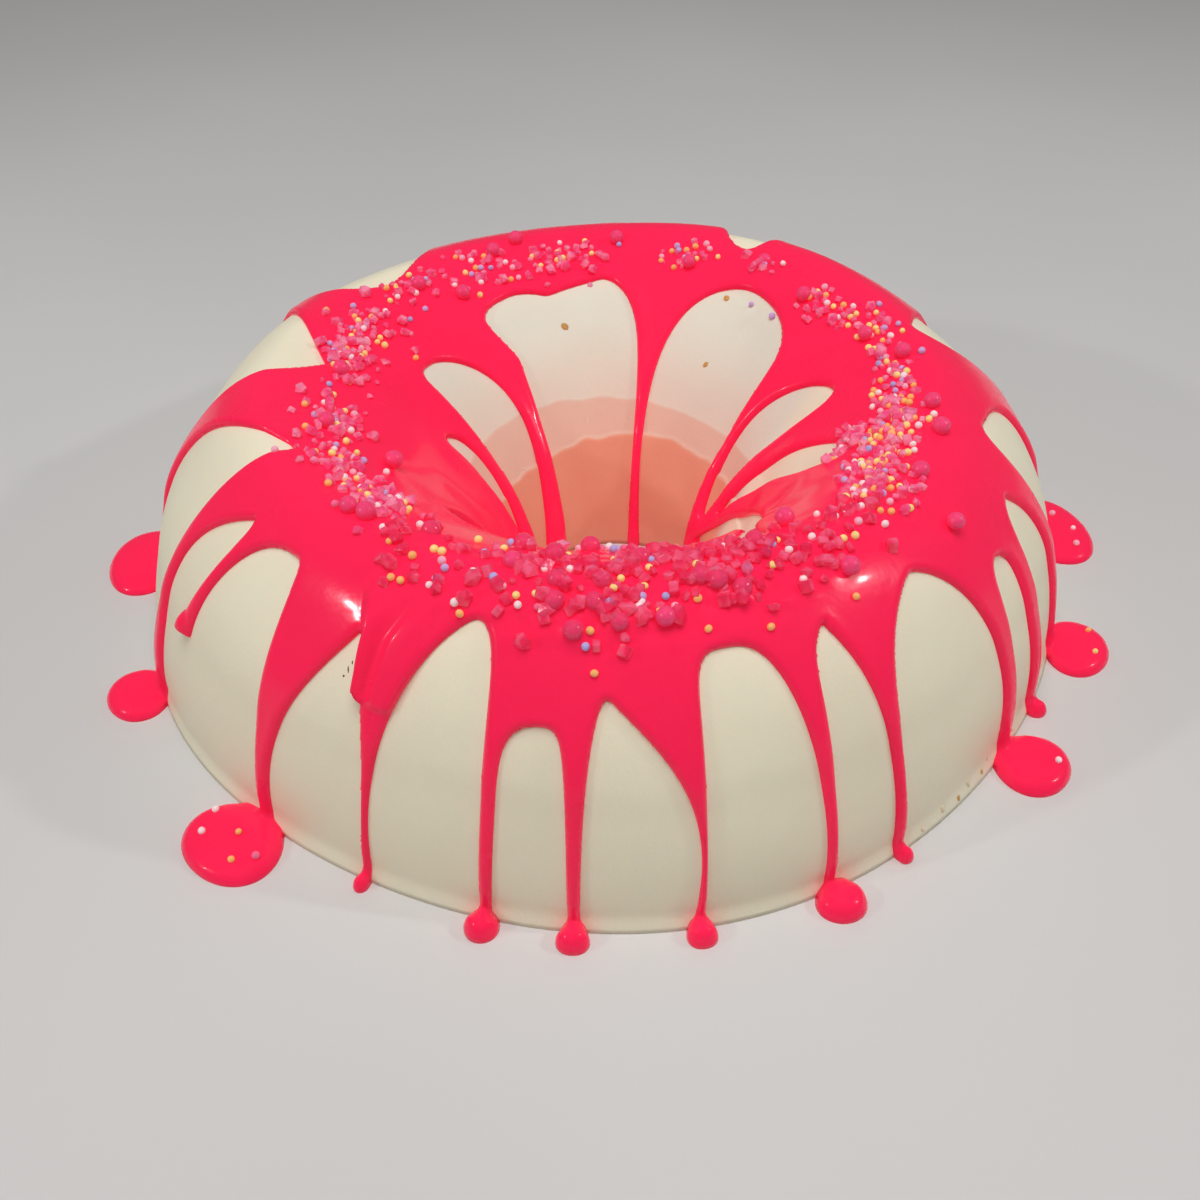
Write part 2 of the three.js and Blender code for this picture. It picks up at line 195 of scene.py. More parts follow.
# How far the spread frosting's features stand out, and the reach of the faint edge that a scraper
# left low on the wall.
SWELL = 0.2
SCRAPED_EDGE = 33.0
SCRAPED_STEP = 0.4
THROAT_SWELL = 0.2
UPPER_STEP = 0.12
LOWER_STEP = 0.4


def ledges(angle):
    """Where the two ledges run round the hole, as reaches."""
    upper = 134.2 + 1.9 * np.cos(np.radians(2 * (angle - 25))) + 0.3 * ripple(angle, 0.0, 16, 9)
    lower = 145.4 - 2.9 * np.cos(np.radians(2 * (angle - 75))) + 0.35 * ripple(angle, 0.0, 17, 9)
    return upper, lower


def relief(angle, reach, run_up):
    """How far the spread frosting stands out from the smooth section: ledges in the hole, a faint
    scraper's edge low on the wall. A ledge's step takes its run-up to rise."""
    on_wall = smoothstep(reach, 1.0, 8.0) * (1 - smoothstep(reach, 70.0, 80.0))
    swell = SWELL * ripple(angle, reach, 11, 36)
    band = SCRAPED_EDGE + ripple(angle, 0.0, 12, 30)
    scraped = smoothstep(reach, band - 5.0, band + 5.0) * (1 - smoothstep(reach, band + 6, band + 30))
    upper, lower = ledges(angle)
    step = UPPER_STEP * smoothstep(reach, upper - run_up, upper + 0.5)
    lower_step = LOWER_STEP + 0.25 * np.cos(np.radians(angle - 50))
    step = step + lower_step * smoothstep(reach, lower - run_up, lower + 0.5)
    step = step * (1 - smoothstep(reach, WHOLE_REACH - 12, WHOLE_REACH))
    throat = THROAT_SWELL * ripple(angle, reach, 15, 26) * smoothstep(reach, 96.0, 112.0)
    return (swell + SCRAPED_STEP * scraped) * on_wall + step + throat * (reach < WHOLE_REACH - 4)


# The frosting's ledges are sharp, and the glaze that runs over them rounds them off.
SHARP = 0.7
ROUNDED = 9.0


def hole_middle(depth):
    """The middle of the ring's section at a share of the way down from the crest into the hole."""
    drift, lean = np.sin(depth * math.pi / 2), depth ** 3
    return [RING_AXIS[i] + HOLE_SHIFT[i] * drift + HOLE_LEAN[i] * lean for i in (0, 1)]


def surface(angle, reach, lift, run_up=SHARP):
    """Points on, over or under the frosting, in millimetres, without its relief where the run-up
    is None. Beyond either foot the surface lies on the floor, and the lift turns from outwards to
    straight up around the corner."""
    angle, reach, lift = np.broadcast_arrays(*(np.asarray(v, float) for v in (angle, reach, lift)))
    inside = np.clip(reach, 0.0, WHOLE_REACH)
    radius = np.interp(inside, TABLE_REACH, TABLE_RADIUS)
    height = np.interp(inside, TABLE_REACH, TABLE_HEIGHT)
    gap = 0.4
    ahead = np.clip(inside + gap, 0.0, WHOLE_REACH)
    back = np.clip(inside - gap, 0.0, WHOLE_REACH)
    out = np.interp(ahead, TABLE_REACH, TABLE_HEIGHT) - np.interp(back, TABLE_REACH, TABLE_HEIGHT)
    up = np.interp(back, TABLE_REACH, TABLE_RADIUS) - np.interp(ahead, TABLE_REACH, TABLE_RADIUS)
    radius = radius - np.minimum(reach, 0.0) - np.maximum(reach - WHOLE_REACH, 0.0)
    past = np.minimum(reach, WHOLE_REACH - reach)
    turned = 1 - smoothstep(past, -CORNER, CORNER)
    length = np.maximum(np.hypot(out, up), 1e-9)
    out, up = out / length * (1 - turned), up / length * (1 - turned) + turned
    length = np.hypot(out, up)
    out, up = out / length, up / length
    if run_up is not None:
        lift = lift + relief(angle, reach, run_up) * smoothstep(past, 0.0, 2.0)
    x = radius + out * lift
    z = height + up * lift
    z = z * (1 + unevenness(HEIGHT_WAVES, angle) * z / CREST_HEIGHT)
    middle = hole_middle(np.clip((reach - CREST_REACH) / (WHOLE_REACH - CREST_REACH), 0.0, 1.0))
    fade_start = 1.6 * (radius - CREST_RADIUS)
    fade = smoothstep(fade_start, 0.0, WALL_RADIUS - CREST_RADIUS) * (reach < CREST_REACH)
    x = x * (1 + unevenness(WALL_WAVES, angle) * fade)
    turn = np.radians(angle)
    return np.stack((middle[0] + x * np.cos(turn), middle[1] + x * np.sin(turn), z), axis=-1)


def side_angle(side, apex_angle, share):
    foot, shoulder, late, roundness = side
    bend = 1 - np.maximum(1 - share ** late, 0.0) ** (1 / roundness)
    return foot + (shoulder - foot) * share + (apex_angle - shoulder) * bend


def turned_near(angle, middle):
    """The same direction, named within half a turn of the middle."""
    return middle + (angle - middle + 180.0) % 360.0 - 180.0


class Opening:
    """A rounded opening in the coat, standing on the wall's foot or on the hole's."""

    def __init__(self, foot, apex, left, right, base=None):
        self.foot, self.left, self.right = foot, left, right
        self.apex_angle, apex_reach = apex
        self.base = base
        self.top = abs(apex_reach - foot)
        self.upward = np.sign(apex_reach - foot)

    def sides(self, share):
        """The angles of both sides at a share of the way up to the apex."""
        low = side_angle(self.left, self.apex_angle, share)
        return low, np.maximum(side_angle(self.right, self.apex_angle, share), low + NARROWEST_OPENING)

    def holds(self, angle, reach):
        climb = self.upward * (reach - self.foot)
        low, high = self.sides(np.clip(climb / self.top, 0.0, 1.0))
        near = turned_near(angle, (low + high) / 2)
        base = BELOW_FOOT if self.base is None else self.base
        return (climb >= base) & (climb <= self.top) & (near >= low) & (near <= high)

    def outline(self):
        """Angle and reach along its rim, closely spaced."""
        bend = np.linspace(0.0, 1.0, 400)
        rows = []
        for number, side in enumerate((self.left, self.right)):
            share = np.concatenate((np.linspace(0.0, 1.0, 500), (1 - (1 - bend) ** side[3]) ** (1 / side[2])))
            share = np.unique(share[share >= (self.base or 0.0) / self.top])
            reach = self.foot + self.upward * share * self.top
            rows.append(np.stack((self.sides(share)[number], reach), axis=-1))
        return np.concatenate((rows[0], rows[1][::-1]))


def evenly(rows, spacing):
    """The same path of (angle, reach), resampled by its true length over the frosting."""
    points = surface(rows[:, 0], rows[:, 1], 0.0)
    length = np.concatenate(([0.0], np.cumsum(np.linalg.norm(np.diff(points, axis=0), axis=1))))
    along = np.linspace(0.0, length[-1], max(2, int(length[-1] / spacing)))
    return np.stack([np.interp(along, length, rows[:, i]) for i in (0, 1)], axis=-1)


class Pool:
    """A drip's end on the floor: a low flat dome with a rounded rim."""

    def __init__(self, values):
        self.angle, past, self.across, self.out, self.height = values
        self.middle = surface(self.angle, -past, 0.0, run_up=None)
        turn = math.radians(self.angle)
        self.outward = np.array((math.cos(turn), math.sin(turn)))
        self.sideways = np.array((-math.sin(turn), math.cos(turn)))
        self.power = 2.0 + 0.38 * max(self.out - 4.0, 0.0)

    def bumps(self, turn):
        return 1 - 0.025 * (1 + np.sin(3 * turn + self.angle))

    def fullness(self, points):
        """Over 0 inside the dome, and 0 on it."""
        flat = points[..., :2] - self.middle[:2]
        u = flat @ self.outward / self.out
        v = flat @ self.sideways / self.across
        spread = (np.hypot(u, v) / self.bumps(np.arctan2(v, u))) ** self.power
        return 1 - spread - (np.maximum(points[..., 2], 0.0) / self.height) ** 2

    def outline(self):
        """Angle and reach of its rim, over the floor and up the foot of the wall."""
        turn = np.linspace(0, 2 * math.pi, 400)
        u, v = np.cos(turn) * self.bumps(turn) * self.out, np.sin(turn) * self.bumps(turn) * self.across
        flat = self.middle[:2] + u[:, None] * self.outward + v[:, None] * self.sideways
        rows = [np.stack(floor_reach(flat), axis=-1)]
        rows[0] = rows[0][rows[0][:, 1] < 0]
        distance = float(np.linalg.norm(self.middle[:2] - RING_AXIS))
        angle = self.angle + np.linspace(-1, 1, 300) * math.degrees(self.across / distance)
        full = self.fullness(surface(angle, 0.0, 0.0, run_up=None))
        rise = self.height * np.sqrt(np.maximum(full, 0.0))
        rows.append(np.stack((angle, rise), axis=-1)[full > 0])
        return np.concatenate(rows)


def floor_reach(flat):
    """Angle and reach of points on the floor around the wall's foot."""
    offset = flat - np.array(RING_AXIS)
    angle = np.degrees(np.arctan2(offset[:, 1], offset[:, 0]))
    return angle, FOOT_RADIUS - np.hypot(offset[:, 0], offset[:, 1]) / (1 + unevenness(WALL_WAVES, angle))


OPENINGS = [Opening(0.0, *values) for values in WALL_OPENINGS]
OPENINGS += [Opening(WHOLE_REACH, *values) for values in FUNNEL_OPENINGS]
POOLS = [Pool(values) for values in POOL_SIZES]

# In the hole the glaze runs out a little over the floor.
GLAZE_END = WHOLE_REACH + 1.5

# The tip of the drip that stops half-way down the wall.
SHORT_DRIP = {"angle": -147.9, "reach": 35.5, "across": 2.7, "up": 4.2, "thickness": 1.2}

# The flap of glaze that slid down and folded over one drip: its left edge and the crease in it,
# each as angles at reaches, how far to the right it lies and hangs over bare frosting, and its
# thickness.
FLAP = {
    "reaches": (45.5, 48.0, 60.5, 68.5, 77.0), "left": (-116.8, -118.4, -118.8, -120.6, -117.5),
    "crease": (-116.4, -116.6, -115.8, -113.6, -112.5), "right": -112.5, "overhang": -114.5,
    "thickness": 2.3,
}

# Pearls that lie where they fell: angle and reach. Those listed as coated sank into the wet glaze.
BARE_PEARLS = (
    (-163, 94), (-155, 108), (-132, 83), (-129, 84), (-185, 96), (-225, 90),
    (-233, 97), (-246, 86), (68, 95), (51, 87), (36, 94), (15, 91), (5, 85), (-12, 81), (-19, 79),
    (-32, 79), (-36, 67), (-56, 72), (-252, 83), (86, 87), (-56.5, 92), (-102.5, 82.5), (-82, 71),
)
COATED_PEARLS = (
    (-119, 89), (-97, 86.5), (-95.5, 79), (-95.5, 74.5), (-93, 69), (-90.5, 74.5), (-89.5, 79), (-87.5, 70.5),
    (-76.5, 78), (-74.5, 76.5), (-71.5, 74.5), (-66, 85), (-103.5, 92), (-92.5, 96), (-76, 92.5), (-84, 85),
)

# Heaps of small sprinkles: angle, reach, spread each way in degrees and millimetres, and how many
# beads and crystals.
HEAPS = (
    (-203, 94, 9, 8, 22, 34), (-190, 96, 9, 9, 14, 34), (-166, 97, 9, 8, 18, 30), (-149, 93, 9, 8, 20, 30),
    (-134, 91, 9, 8, 26, 40), (-224, 90, 10, 6, 12, 16), (-241, 91, 9, 6, 18, 18), (-261, 91, 9, 5, 8, 34),
    (70, 93, 7, 5, 14, 10), (-120, 82, 8, 9, 2, 10), (-110, 78, 7, 8, 1, 10), (-105, 88, 6, 6, 1, 10),
    (-96, 82, 7, 11, 2, 30), (-87, 80, 7, 12, 2, 44), (-77, 84, 7, 11, 1, 46), (-68, 80, 6, 9, 1, 28),
    (-59, 79, 5, 7, 1, 20), (-49, 81, 6, 7, 6, 14), (-40, 84, 6, 8, 24, 26), (-30, 90, 7, 8, 34, 36),
    (-18, 91, 7, 8, 34, 24), (-8, 90, 7, 8, 22, 18), (5, 89, 8, 7, 18, 16), (15, 88, 7, 6, 16, 12),
    (30, 93, 9, 6, 10, 20), (50, 89, 6, 5, 4, 6),
)

# One heap lies on the bare frosting at the top of an opening: the same numbers.
BARE_HEAP = (-16.5, 104.5, 6, 5, 6, 34)

# Single beads that rolled away, on the drips' pools and on the frosting: angle, reach and colour.
STRAY_BEADS = (
    (-133, -12, 2), (-130, -7, 1), (-128, -13, 1), (-134.5, -6, 2), (-126.5, -9, 6), (-35, -12, 2),
    (-16.5, -11, 0), (-13, -9, 1), (6, -14, 2), (9, -11, 3), (3, -12, 3), (48.7, 101.7, 4),
    (41.4, 102.5, 4), (-57, 66, 1), (-112, 93, 0), (-107, 96, 5), (-106, 89.5, 0), (-108, 86, 5),
    (-100, 96.5, 3), (-104, 78, 5), (-107, 78.5, 2), (-97.5, 81, 2), (-94, 81.5, 2), (-102.5, 76.5, 3),
    (-100.5, 75, 0), (-100, 73, 2), (-98, 75.5, 0), (-97.5, 73, 6), (-108, 71.5, 2), (-107, 69.5, 1),
    (-91, 69, 1), (-91.5, 66, 5), (-90.5, 61, 1), (-91, 81, 2), (-87, 79, 0), (-88, 87.5, 0), (-85.5, 89, 2),
    (-92, 100, 4), (-88.5, 97.5, 5), (-88.5, 74.5, 5), (-88, 77, 0), (-84, 77.5, 0), (-84.5, 75.5, 4),
    (-85, 73.5, 2), (-81.5, 75, 5), (-80.5, 73, 3), (-82.5, 72.5, 0), (-82.5, 84, 5), (-83, 81, 0),
    (-79.5, 91, 1), (-77, 89, 3), (-77.5, 74, 1), (-77, 68, 1), (-69.5, 66, 1), (-69.5, 78, 5), (-66, 77.5, 0),
    (-65.5, 80.5, 5), (-64, 82, 5), (-62.5, 83.5, 0), (-62.5, 79.5, 2), (-63, 73, 2), (-54, 77.5, 0),
    (-52, 77, 0), (-114.5, 82, 0), (-113, 81.5, 0), (-112, 79.5, 3), (-111, 78, 4), (-111.5, 75.5, 4),
    (-117.5, 73, 1), (-116, 73, 1), (-121, 80, 1), (-121, 92, 3), (-95.5, 101.5, 3), (-94, 102.5, 6),
    (-92.5, 103, 5), (-91, 102, 6), (-89.5, 103, 2), (-88, 102, 4), (-86.5, 102.5, 6), (-85, 101.5, 5),
)

# Crumbs and scuffs on the frosting: angle, reach, length and width in millimetres, and colour.
CRUMBS = (
    (-257.3, 112.3, 2.5, 2.0, 0), (55.4, 121.3, 1.8, 1.4, 0), (56.2, 102, 2.2, 1.6, 0),
    (-266.6, 100.6, 2.0, 1.6, 1), (-259, 138.6, 2.0, 0.7, 2), (-222, 146.2, 1.6, 0.7, 2),
    (-120.3, 49.3, 0.5, 0.5, 3), (-119.9, 51.0, 1.6, 0.3, 3), (-119.6, 52.8, 0.8, 0.3, 3),
    (-49, 3.2, 2.2, 1.2, 2), (-46, 2.2, 1.6, 1.1, 0), (-44, 3.6, 2.4, 1.2, 2), (-41, 2.6, 1.5, 1.0, 0),
    (-52.5, 2.4, 1.8, 1.1, 2), (-39.5, 4.2, 1.9, 1.0, 2), (-33, 3.4, 1.8, 1.0, 2),
)


def bare(angle, reach, skip=None):
    """Where the poured coat leaves the frosting bare."""
    found = np.zeros(np.shape(angle), bool)
    for index, opening in enumerate(OPENINGS):
        if index != skip:
            found |= opening.holds(angle, reach)
    return found


def coated(reach):
    return (reach >= 0.0) & (reach <= GLAZE_END)


def flap_line(name, reach):
    return np.interp(reach, FLAP["reaches"], FLAP[name])


def in_flap(angle, reach):
    low, high = FLAP["reaches"][0], FLAP["reaches"][2]
    near = turned_near(angle, FLAP["overhang"])
    across = (near >= flap_line("left", reach)) & (near <= FLAP["overhang"])
    return (reach >= low) & (reach <= high) & across


def in_pool(angle, reach, skip=None):
    points = surface(angle, reach, 0.0, run_up=None)
    found = np.zeros(np.shape(angle), bool)
    for index, pool in enumerate(POOLS):
        if index != skip:
            found |= pool.fullness(points) > 0
    return found


def in_glaze(angle, reach):
    return (coated(reach) & ~bare(angle, reach)) | in_pool(angle, reach) | in_flap(angle, reach)


def tree_of(angle, reach):
    """A search tree of places on the frosting."""
    points = surface(angle, reach, 0.0, run_up=None)
    tree = KDTree(len(points))
    for index, point in enumerate(points):
        tree.insert(point, index)
    tree.balance()
    return tree


RIM_SPACING = 0.2


class Rim:
    """The whole edge of the glaze as closely spaced points, to measure from and to snap to."""

    def __init__(self, spacing):
        rows = []
        for index, opening in enumerate(OPENINGS):
            angle, reach = evenly(opening.outline(), spacing).T
            hidden = ~coated(reach) | in_pool(angle, reach) | bare(angle, reach, index) | in_flap(angle, reach)
            rows.append((angle[~hidden], reach[~hidden]))
        for index, pool in enumerate(POOLS):
            angle, reach = evenly(pool.outline(), spacing).T
            hidden = (coated(reach) & ~bare(angle, reach)) | in_pool(angle, reach, index)
            rows.append((angle[~hidden], reach[~hidden]))
        around = np.linspace(-180.0, 180.0, 1600)
        ends = np.full_like(around, GLAZE_END)
        rows.append((around[~bare(around, ends)], ends[~bare(around, ends)]))
        low, high = FLAP["reaches"][0], FLAP["reaches"][2]
        edge = np.linspace(low, high, 80)
        across = np.linspace(FLAP["left"][0], FLAP["overhang"], 40)
        for angle, reach in ((flap_line("left", edge), edge), (across, np.full_like(across, low))):
            bared = bare(angle, reach)
            rows.append((angle[bared], reach[bared]))
        self.layout = np.concatenate(rows, axis=1).T
        self.tree = tree_of(self.layout[:, 0], self.layout[:, 1])

    def nearest(self, angle, reach):
        """For each place, the nearest rim point's number and its distance in millimetres."""
        points = surface(angle, reach, 0.0, run_up=None)
        found = [self.tree.find(point) for point in points]
        return np.array([hit[1] for hit in found]), np.array([hit[2] for hit in found])


@cache
def the_rim():
    """The rim, traced once for all the pieces that need it."""
    return Rim(RIM_SPACING)


UNROLLED_RADIUS = 110.0


def unrolled_tube(reaches, columns):
    """A plain tube whose height is the reach: the frosting's surface before it is wrapped."""
    bm = bmesh.new()
    line = [bm.verts.new((UNROLLED_RADIUS, 0.0, reach)) for reach in reaches]
    line += [bm.edges.new(pair) for pair in zip(line, line[1:])]
    bmesh.ops.spin(
        bm, geom=line, cent=(0, 0, 0), axis=(0, 0, 1), angle=2 * math.pi, steps=columns, use_merge=True,
    )
    bmesh.ops.remove_doubles(bm, verts=bm.verts[:], dist=1e-4)
    return bm


def unrolled(places):
    """Angle and reach of places on the tube."""
    x, y, reach = np.array([place[:] for place in places]).T
    return np.degrees(np.arctan2(y, x)), reach


def layout(verts):
    """Angle and reach of the tube's vertices."""
    return unrolled([vert.co for vert in verts])


def smooth(bm, verts, factor):
    bmesh.ops.smooth_vert(bm, verts=verts, factor=factor, use_axis_x=True, use_axis_y=True, use_axis_z=True)


def move_to(verts, points):
    for vert, point in zip(verts, points * MM):
        vert.co = point


def new_object(bm, name, materials):
    mesh = bpy.data.meshes.new(name)
    bm.to_mesh(mesh)
    bm.free()
    for material in materials:
        mesh.materials.append(material)
    made = bpy.data.objects.new(name, mesh)
    bpy.context.scene.collection.objects.link(made)
    return made


def finish_piece(bm, name, materials, rounded=True):
    """Turns the mesh outwards, links it at the origin and lets it ride on the body."""
    bmesh.ops.recalc_face_normals(bm, faces=bm.faces[:])
    piece = new_object(bm, name, materials)
    piece.data.polygons.foreach_set("use_smooth", [rounded] * len(piece.data.polygons))
    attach(piece, BODY)
    return piece


# Glaze ------------------------------------------------------------------------------------------

# The coat's inside lies under the frosting's surface, and its rounded edge rises from a little over
# it. The bead just inside the edge has a middle and a spread, both as depths in from the rim.
INNER_LIFT = -0.3
EDGE_LIFT = 0.3
EDGE_WIDTH = 1.9
BEAD_DEPTH = 2.0
BEAD_SPREAD = 1.3
FLOW_RELIEF = 0.12

# The glaze heaped up around a pearl that sank into it, how far that spreads, and the unevenness over
# buried sugar.
HEAP_LIFT = 1.3
HEAP_SPREAD = 2.7
LUMP_RELIEF = 0.12

# How softly the coat runs into the pools, and a lift that stands for no pool at all.
POOL_BLEND = 0.9
NO_POOL = -5.0

# Where wet glaze covers a heap of sugar, as angle and reach, and how far that spreads; and the
# angles and the reaches between which the flap lies.
WET_MIDDLE = (-84.0, 80.0)
WET_SPREAD = (42.0, 17.0)
FLAP_SURROUND = ((-122, -110), (44, 78))


def dome_share(u, v):
    return np.sqrt(np.clip(1 - u * u - v * v, 0.0, 1.0))


def flap_lift(angle, reach):
    """The folded flap: a thick lobe on its left, a crease, and a thinner lobe to its right."""
    near = turned_near(angle, FLAP["right"])
    left, crease = flap_line("left", reach), flap_line("crease", reach)
    first = (near - left) / (crease - left)
    second = (near - crease) / (FLAP["right"] + 3 - crease)
    thick = smoothstep(first, -0.02, 0.25) * (1 - 0.9 * smoothstep(first, 0.3, 0.95)) * (first < 1)
    thin = (first >= 1) * (0.1 + 0.4 * smoothstep(second, 0.0, 0.2)) * (1 - smoothstep(second, 0.4, 1.0))
    low, high = FLAP["reaches"][0], FLAP["reaches"][-1]
    return FLAP["thickness"] * (thick + thin) * smoothstep(reach, low - 0.5, low + 1.2) * (
        1 - smoothstep(reach, high - 16, high)
    )


def wet_mounds(angle, reach):
    """The glaze heaped up around the pearls that sank into it, and uneven over the buried sugar."""
    points = surface(angle, reach, 0.0, run_up=None)
    heap = np.zeros(len(points))
    for middle in surface(*np.array(COATED_PEARLS, float).T, 0.0, run_up=None):
        heap = np.maximum(heap, np.exp(-(np.linalg.norm(points - middle, axis=1) / HEAP_SPREAD) ** 2))
    near = turned_near(angle, WET_MIDDLE[0])
    spread = np.hypot((near - WET_MIDDLE[0]) / WET_SPREAD[0], (reach - WET_MIDDLE[1]) / WET_SPREAD[1])
    lumps = ripple(angle, reach, 31, 5) + ripple(angle, reach, 32, 3.4)
    return HEAP_LIFT * heap + LUMP_RELIEF * lumps * (1 - smoothstep(spread, 0.5, 1.0))


def smooth_max(a, b, softness):
    share = np.clip(0.5 + 0.5 * (a - b) / softness, 0.0, 1.0)
    return b * (1 - share) + a * share + softness * share * (1 - share)


def pool_lift(base, direction, pool):
    """How far along the lift a pool's dome reaches, or nothing where the lift misses it."""
    steps = np.linspace(0.0, 20.0, 121)
    lift = np.full(len(base), NO_POOL)
    near = np.linalg.norm(base[:, :2] - pool.middle[:2], axis=1) < max(pool.across, pool.out) + 8
    if not near.any():
        return lift
    path = base[near, None, :] + direction[near, None, :] * steps[None, :, None]
    full = pool.fullness(path)
    inside = full > 0
    last = inside.shape[1] - 1 - np.argmax(inside[:, ::-1], axis=1)
    last = np.minimum(last, len(steps) - 2)
    rows = np.arange(len(last))
    here, after = full[rows, last], full[rows, last + 1]
    exact = steps[last] + (steps[1] - steps[0]) * here / np.maximum(here - after, 1e-9)
    lift[near] = np.where(inside.any(axis=1), exact, NO_POOL)
    return lift


def glaze_lift(angle, reach, depth, thickness, bead):
    """How far the glaze stands off the frosting, at a depth in from its rim."""
    rise = np.sqrt(1 - (1 - np.clip(depth / EDGE_WIDTH, 0.0, 1.0)) ** 2)
    lip = bead * np.exp(-((depth - BEAD_DEPTH) / BEAD_SPREAD) ** 2)
    flow = FLOW_RELIEF * ripple(angle, reach, 21, 24) * smoothstep(depth, 0.5, 4.0)
    slab = EDGE_LIFT + (thickness - EDGE_LIFT + lip + flow + wet_mounds(angle, reach)) * rise
    tip = SHORT_DRIP
    tip_u = (turned_near(angle, tip["angle"]) - tip["angle"]) * math.radians(FOOT_RADIUS) / tip["across"]
    slab = slab + tip["thickness"] * dome_share(tip_u, (reach - tip["reach"]) / tip["up"])
    slab = slab + flap_lift(angle, reach)
    past = np.minimum(reach, WHOLE_REACH - reach)
    slab = slab * smoothstep(past, -2.0, 1.0)
    base = surface(angle, reach, 0.0, ROUNDED)
    direction = surface(angle, reach, 1.0, ROUNDED) - base
    domes = np.full(len(base), NO_POOL)
    for pool in POOLS:
        domes = np.maximum(domes, pool_lift(base, direction, pool))
    return np.maximum(smooth_max(slab, domes, POOL_BLEND), EDGE_LIFT)


def signed_depth(rim, angle, reach):
    """Distance in from the glaze's rim, negative outside it."""
    _, distance = rim.nearest(angle, reach)
    return np.where(in_glaze(angle, reach), distance, -distance)


def detailed(angle, reach):
    """Where the coat's relief needs small faces away from the rim too: the wet heap and the flap."""
    near = turned_near(angle, WET_MIDDLE[0])
    wet = (abs(near - WET_MIDDLE[0]) < WET_SPREAD[0]) & (abs(reach - WET_MIDDLE[1]) < WET_SPREAD[1])
    (left, right), (low, high) = FLAP_SURROUND
    return wet | ((near > left) & (near < right) & (reach > low) & (reach < high))


def refine(bm, rim, within, outside, longest):
    """Cuts the longer edges in two near the glaze's rim and where the coat is detailed."""
    bm.verts.ensure_lookup_table()
    angle, reach = layout(bm.verts)
    depth = signed_depth(rim, angle, reach)
    depth = np.where(detailed(angle, reach), np.clip(depth, -within, 0.0), depth)
    points = surface(angle, reach, 0.0, run_up=None)
    bm.verts.index_update()
    wanted = []
    for edge in bm.edges:
        i, j = edge.verts[0].index, edge.verts[1].index
        low, high = min(depth[i], depth[j]), max(depth[i], depth[j])
        if high > -outside and low < within and np.linalg.norm(points[i] - points[j]) > longest:
            wanted.append(edge)
    bmesh.ops.subdivide_edges(bm, edges=wanted, cuts=1, use_grid_fill=True)


def drop_outside(bm, rim, margin):
    """Deletes the faces whose middle lies outside the glaze by more than a margin."""
    depth = signed_depth(rim, *unrolled([face.calc_center_median() for face in bm.faces]))
    gone = [face for face, inside in zip(bm.faces, depth > -margin) if not inside]
    bmesh.ops.delete(bm, geom=gone, context="FACES")


def edge_and_next(bm):
    """The vertices on the coat's edge, and those next to them."""
    edge_verts = [vert for vert in bm.verts if vert.is_boundary]
    near = {other for vert in edge_verts for edge in vert.link_edges for other in edge.verts}
    return edge_verts, [vert for vert in near if not vert.is_boundary]


def snap_rim(bm, rim, rounds):
    """Moves the ragged edge onto the glaze's rim, and evens out the vertices on and next to it."""
    edge_verts, inner = edge_and_next(bm)
    to_rim(edge_verts, rim)
    for _ in range(rounds):
        smooth(bm, inner, 0.5)
        even_out(edge_verts)
        to_rim(edge_verts, rim)
    smooth(bm, inner, 0.5)


def even_out(edge_verts):
    """Moves each vertex of the edge halfway to the middle of its two neighbours."""
    evened = []
    for vert in edge_verts:
        ends = [edge.other_vert(vert).co for edge in vert.link_edges if edge.is_boundary]
        evened.append(vert.co.lerp((ends[0] + ends[1]) / 2, 0.5) if len(ends) == 2 else vert.co.copy())
    for vert, place in zip(edge_verts, evened):
        vert.co = place


def soften_rim(bm, rounds):
    """Rounds off the corners of the coat's edge, and gives a search tree of the edge as it then is."""
    edge_verts, inner = edge_and_next(bm)
    for _ in range(rounds):
        even_out(edge_verts)
        smooth(bm, inner, 0.3)
    along = []
    for edge in bm.edges:
        if edge.is_boundary:
            start, end = edge.verts
            along.extend(start.co.lerp(end.co, share) for share in (0.0, 0.25, 0.5, 0.75))
    return tree_of(*unrolled(along))


def to_rim(verts, rim):
    number, _ = rim.nearest(*layout(verts))
    for vert, (angle, reach) in zip(verts, rim.layout[number]):
        turn = math.radians(angle)
        vert.co = (UNROLLED_RADIUS * math.cos(turn), UNROLLED_RADIUS * math.sin(turn), reach)


# Materials --------------------------------------------------------------------------------------


def new_material(name, **sockets):
    """A material whose even values are set on the shader's own sockets."""
    material = bpy.data.materials.new(name)
    material.use_nodes = True
    shader = material.node_tree.nodes["Principled BSDF"]
    for socket, value in sockets.items():
        shader.inputs[socket.replace("_", " ")].default_value = value
    return material, material.node_tree, shader


def object_noise(tree, scale, detail=3.0, stretch=(1, 1, 1)):
    """Noise on the piece's own coordinates, stretched where the finish has a direction."""
    place = tree.nodes.new("ShaderNodeTexCoord")
    mapping = tree.nodes.new("ShaderNodeMapping")
    mapping.inputs["Scale"].default_value = stretch
    noise = tree.nodes.new("ShaderNodeTexNoise")
    noise.inputs["Scale"].default_value = scale
    noise.inputs["Detail"].default_value = detail
    tree.links.new(place.outputs["Object"], mapping.inputs["Vector"])
    tree.links.new(mapping.outputs["Vector"], noise.inputs["Vector"])
    return noise.outputs["Fac"]


def blend_colours(tree, factor, low, high, start=0.35, end=0.65):
    ramp = tree.nodes.new("ShaderNodeValToRGB")
    ramp.color_ramp.elements[0].position = start
    ramp.color_ramp.elements[1].position = end
    ramp.color_ramp.elements[0].color = (*low, 1)
    ramp.color_ramp.elements[1].color = (*high, 1)
    tree.links.new(factor, ramp.inputs["Fac"])
    return ramp.outputs["Color"]


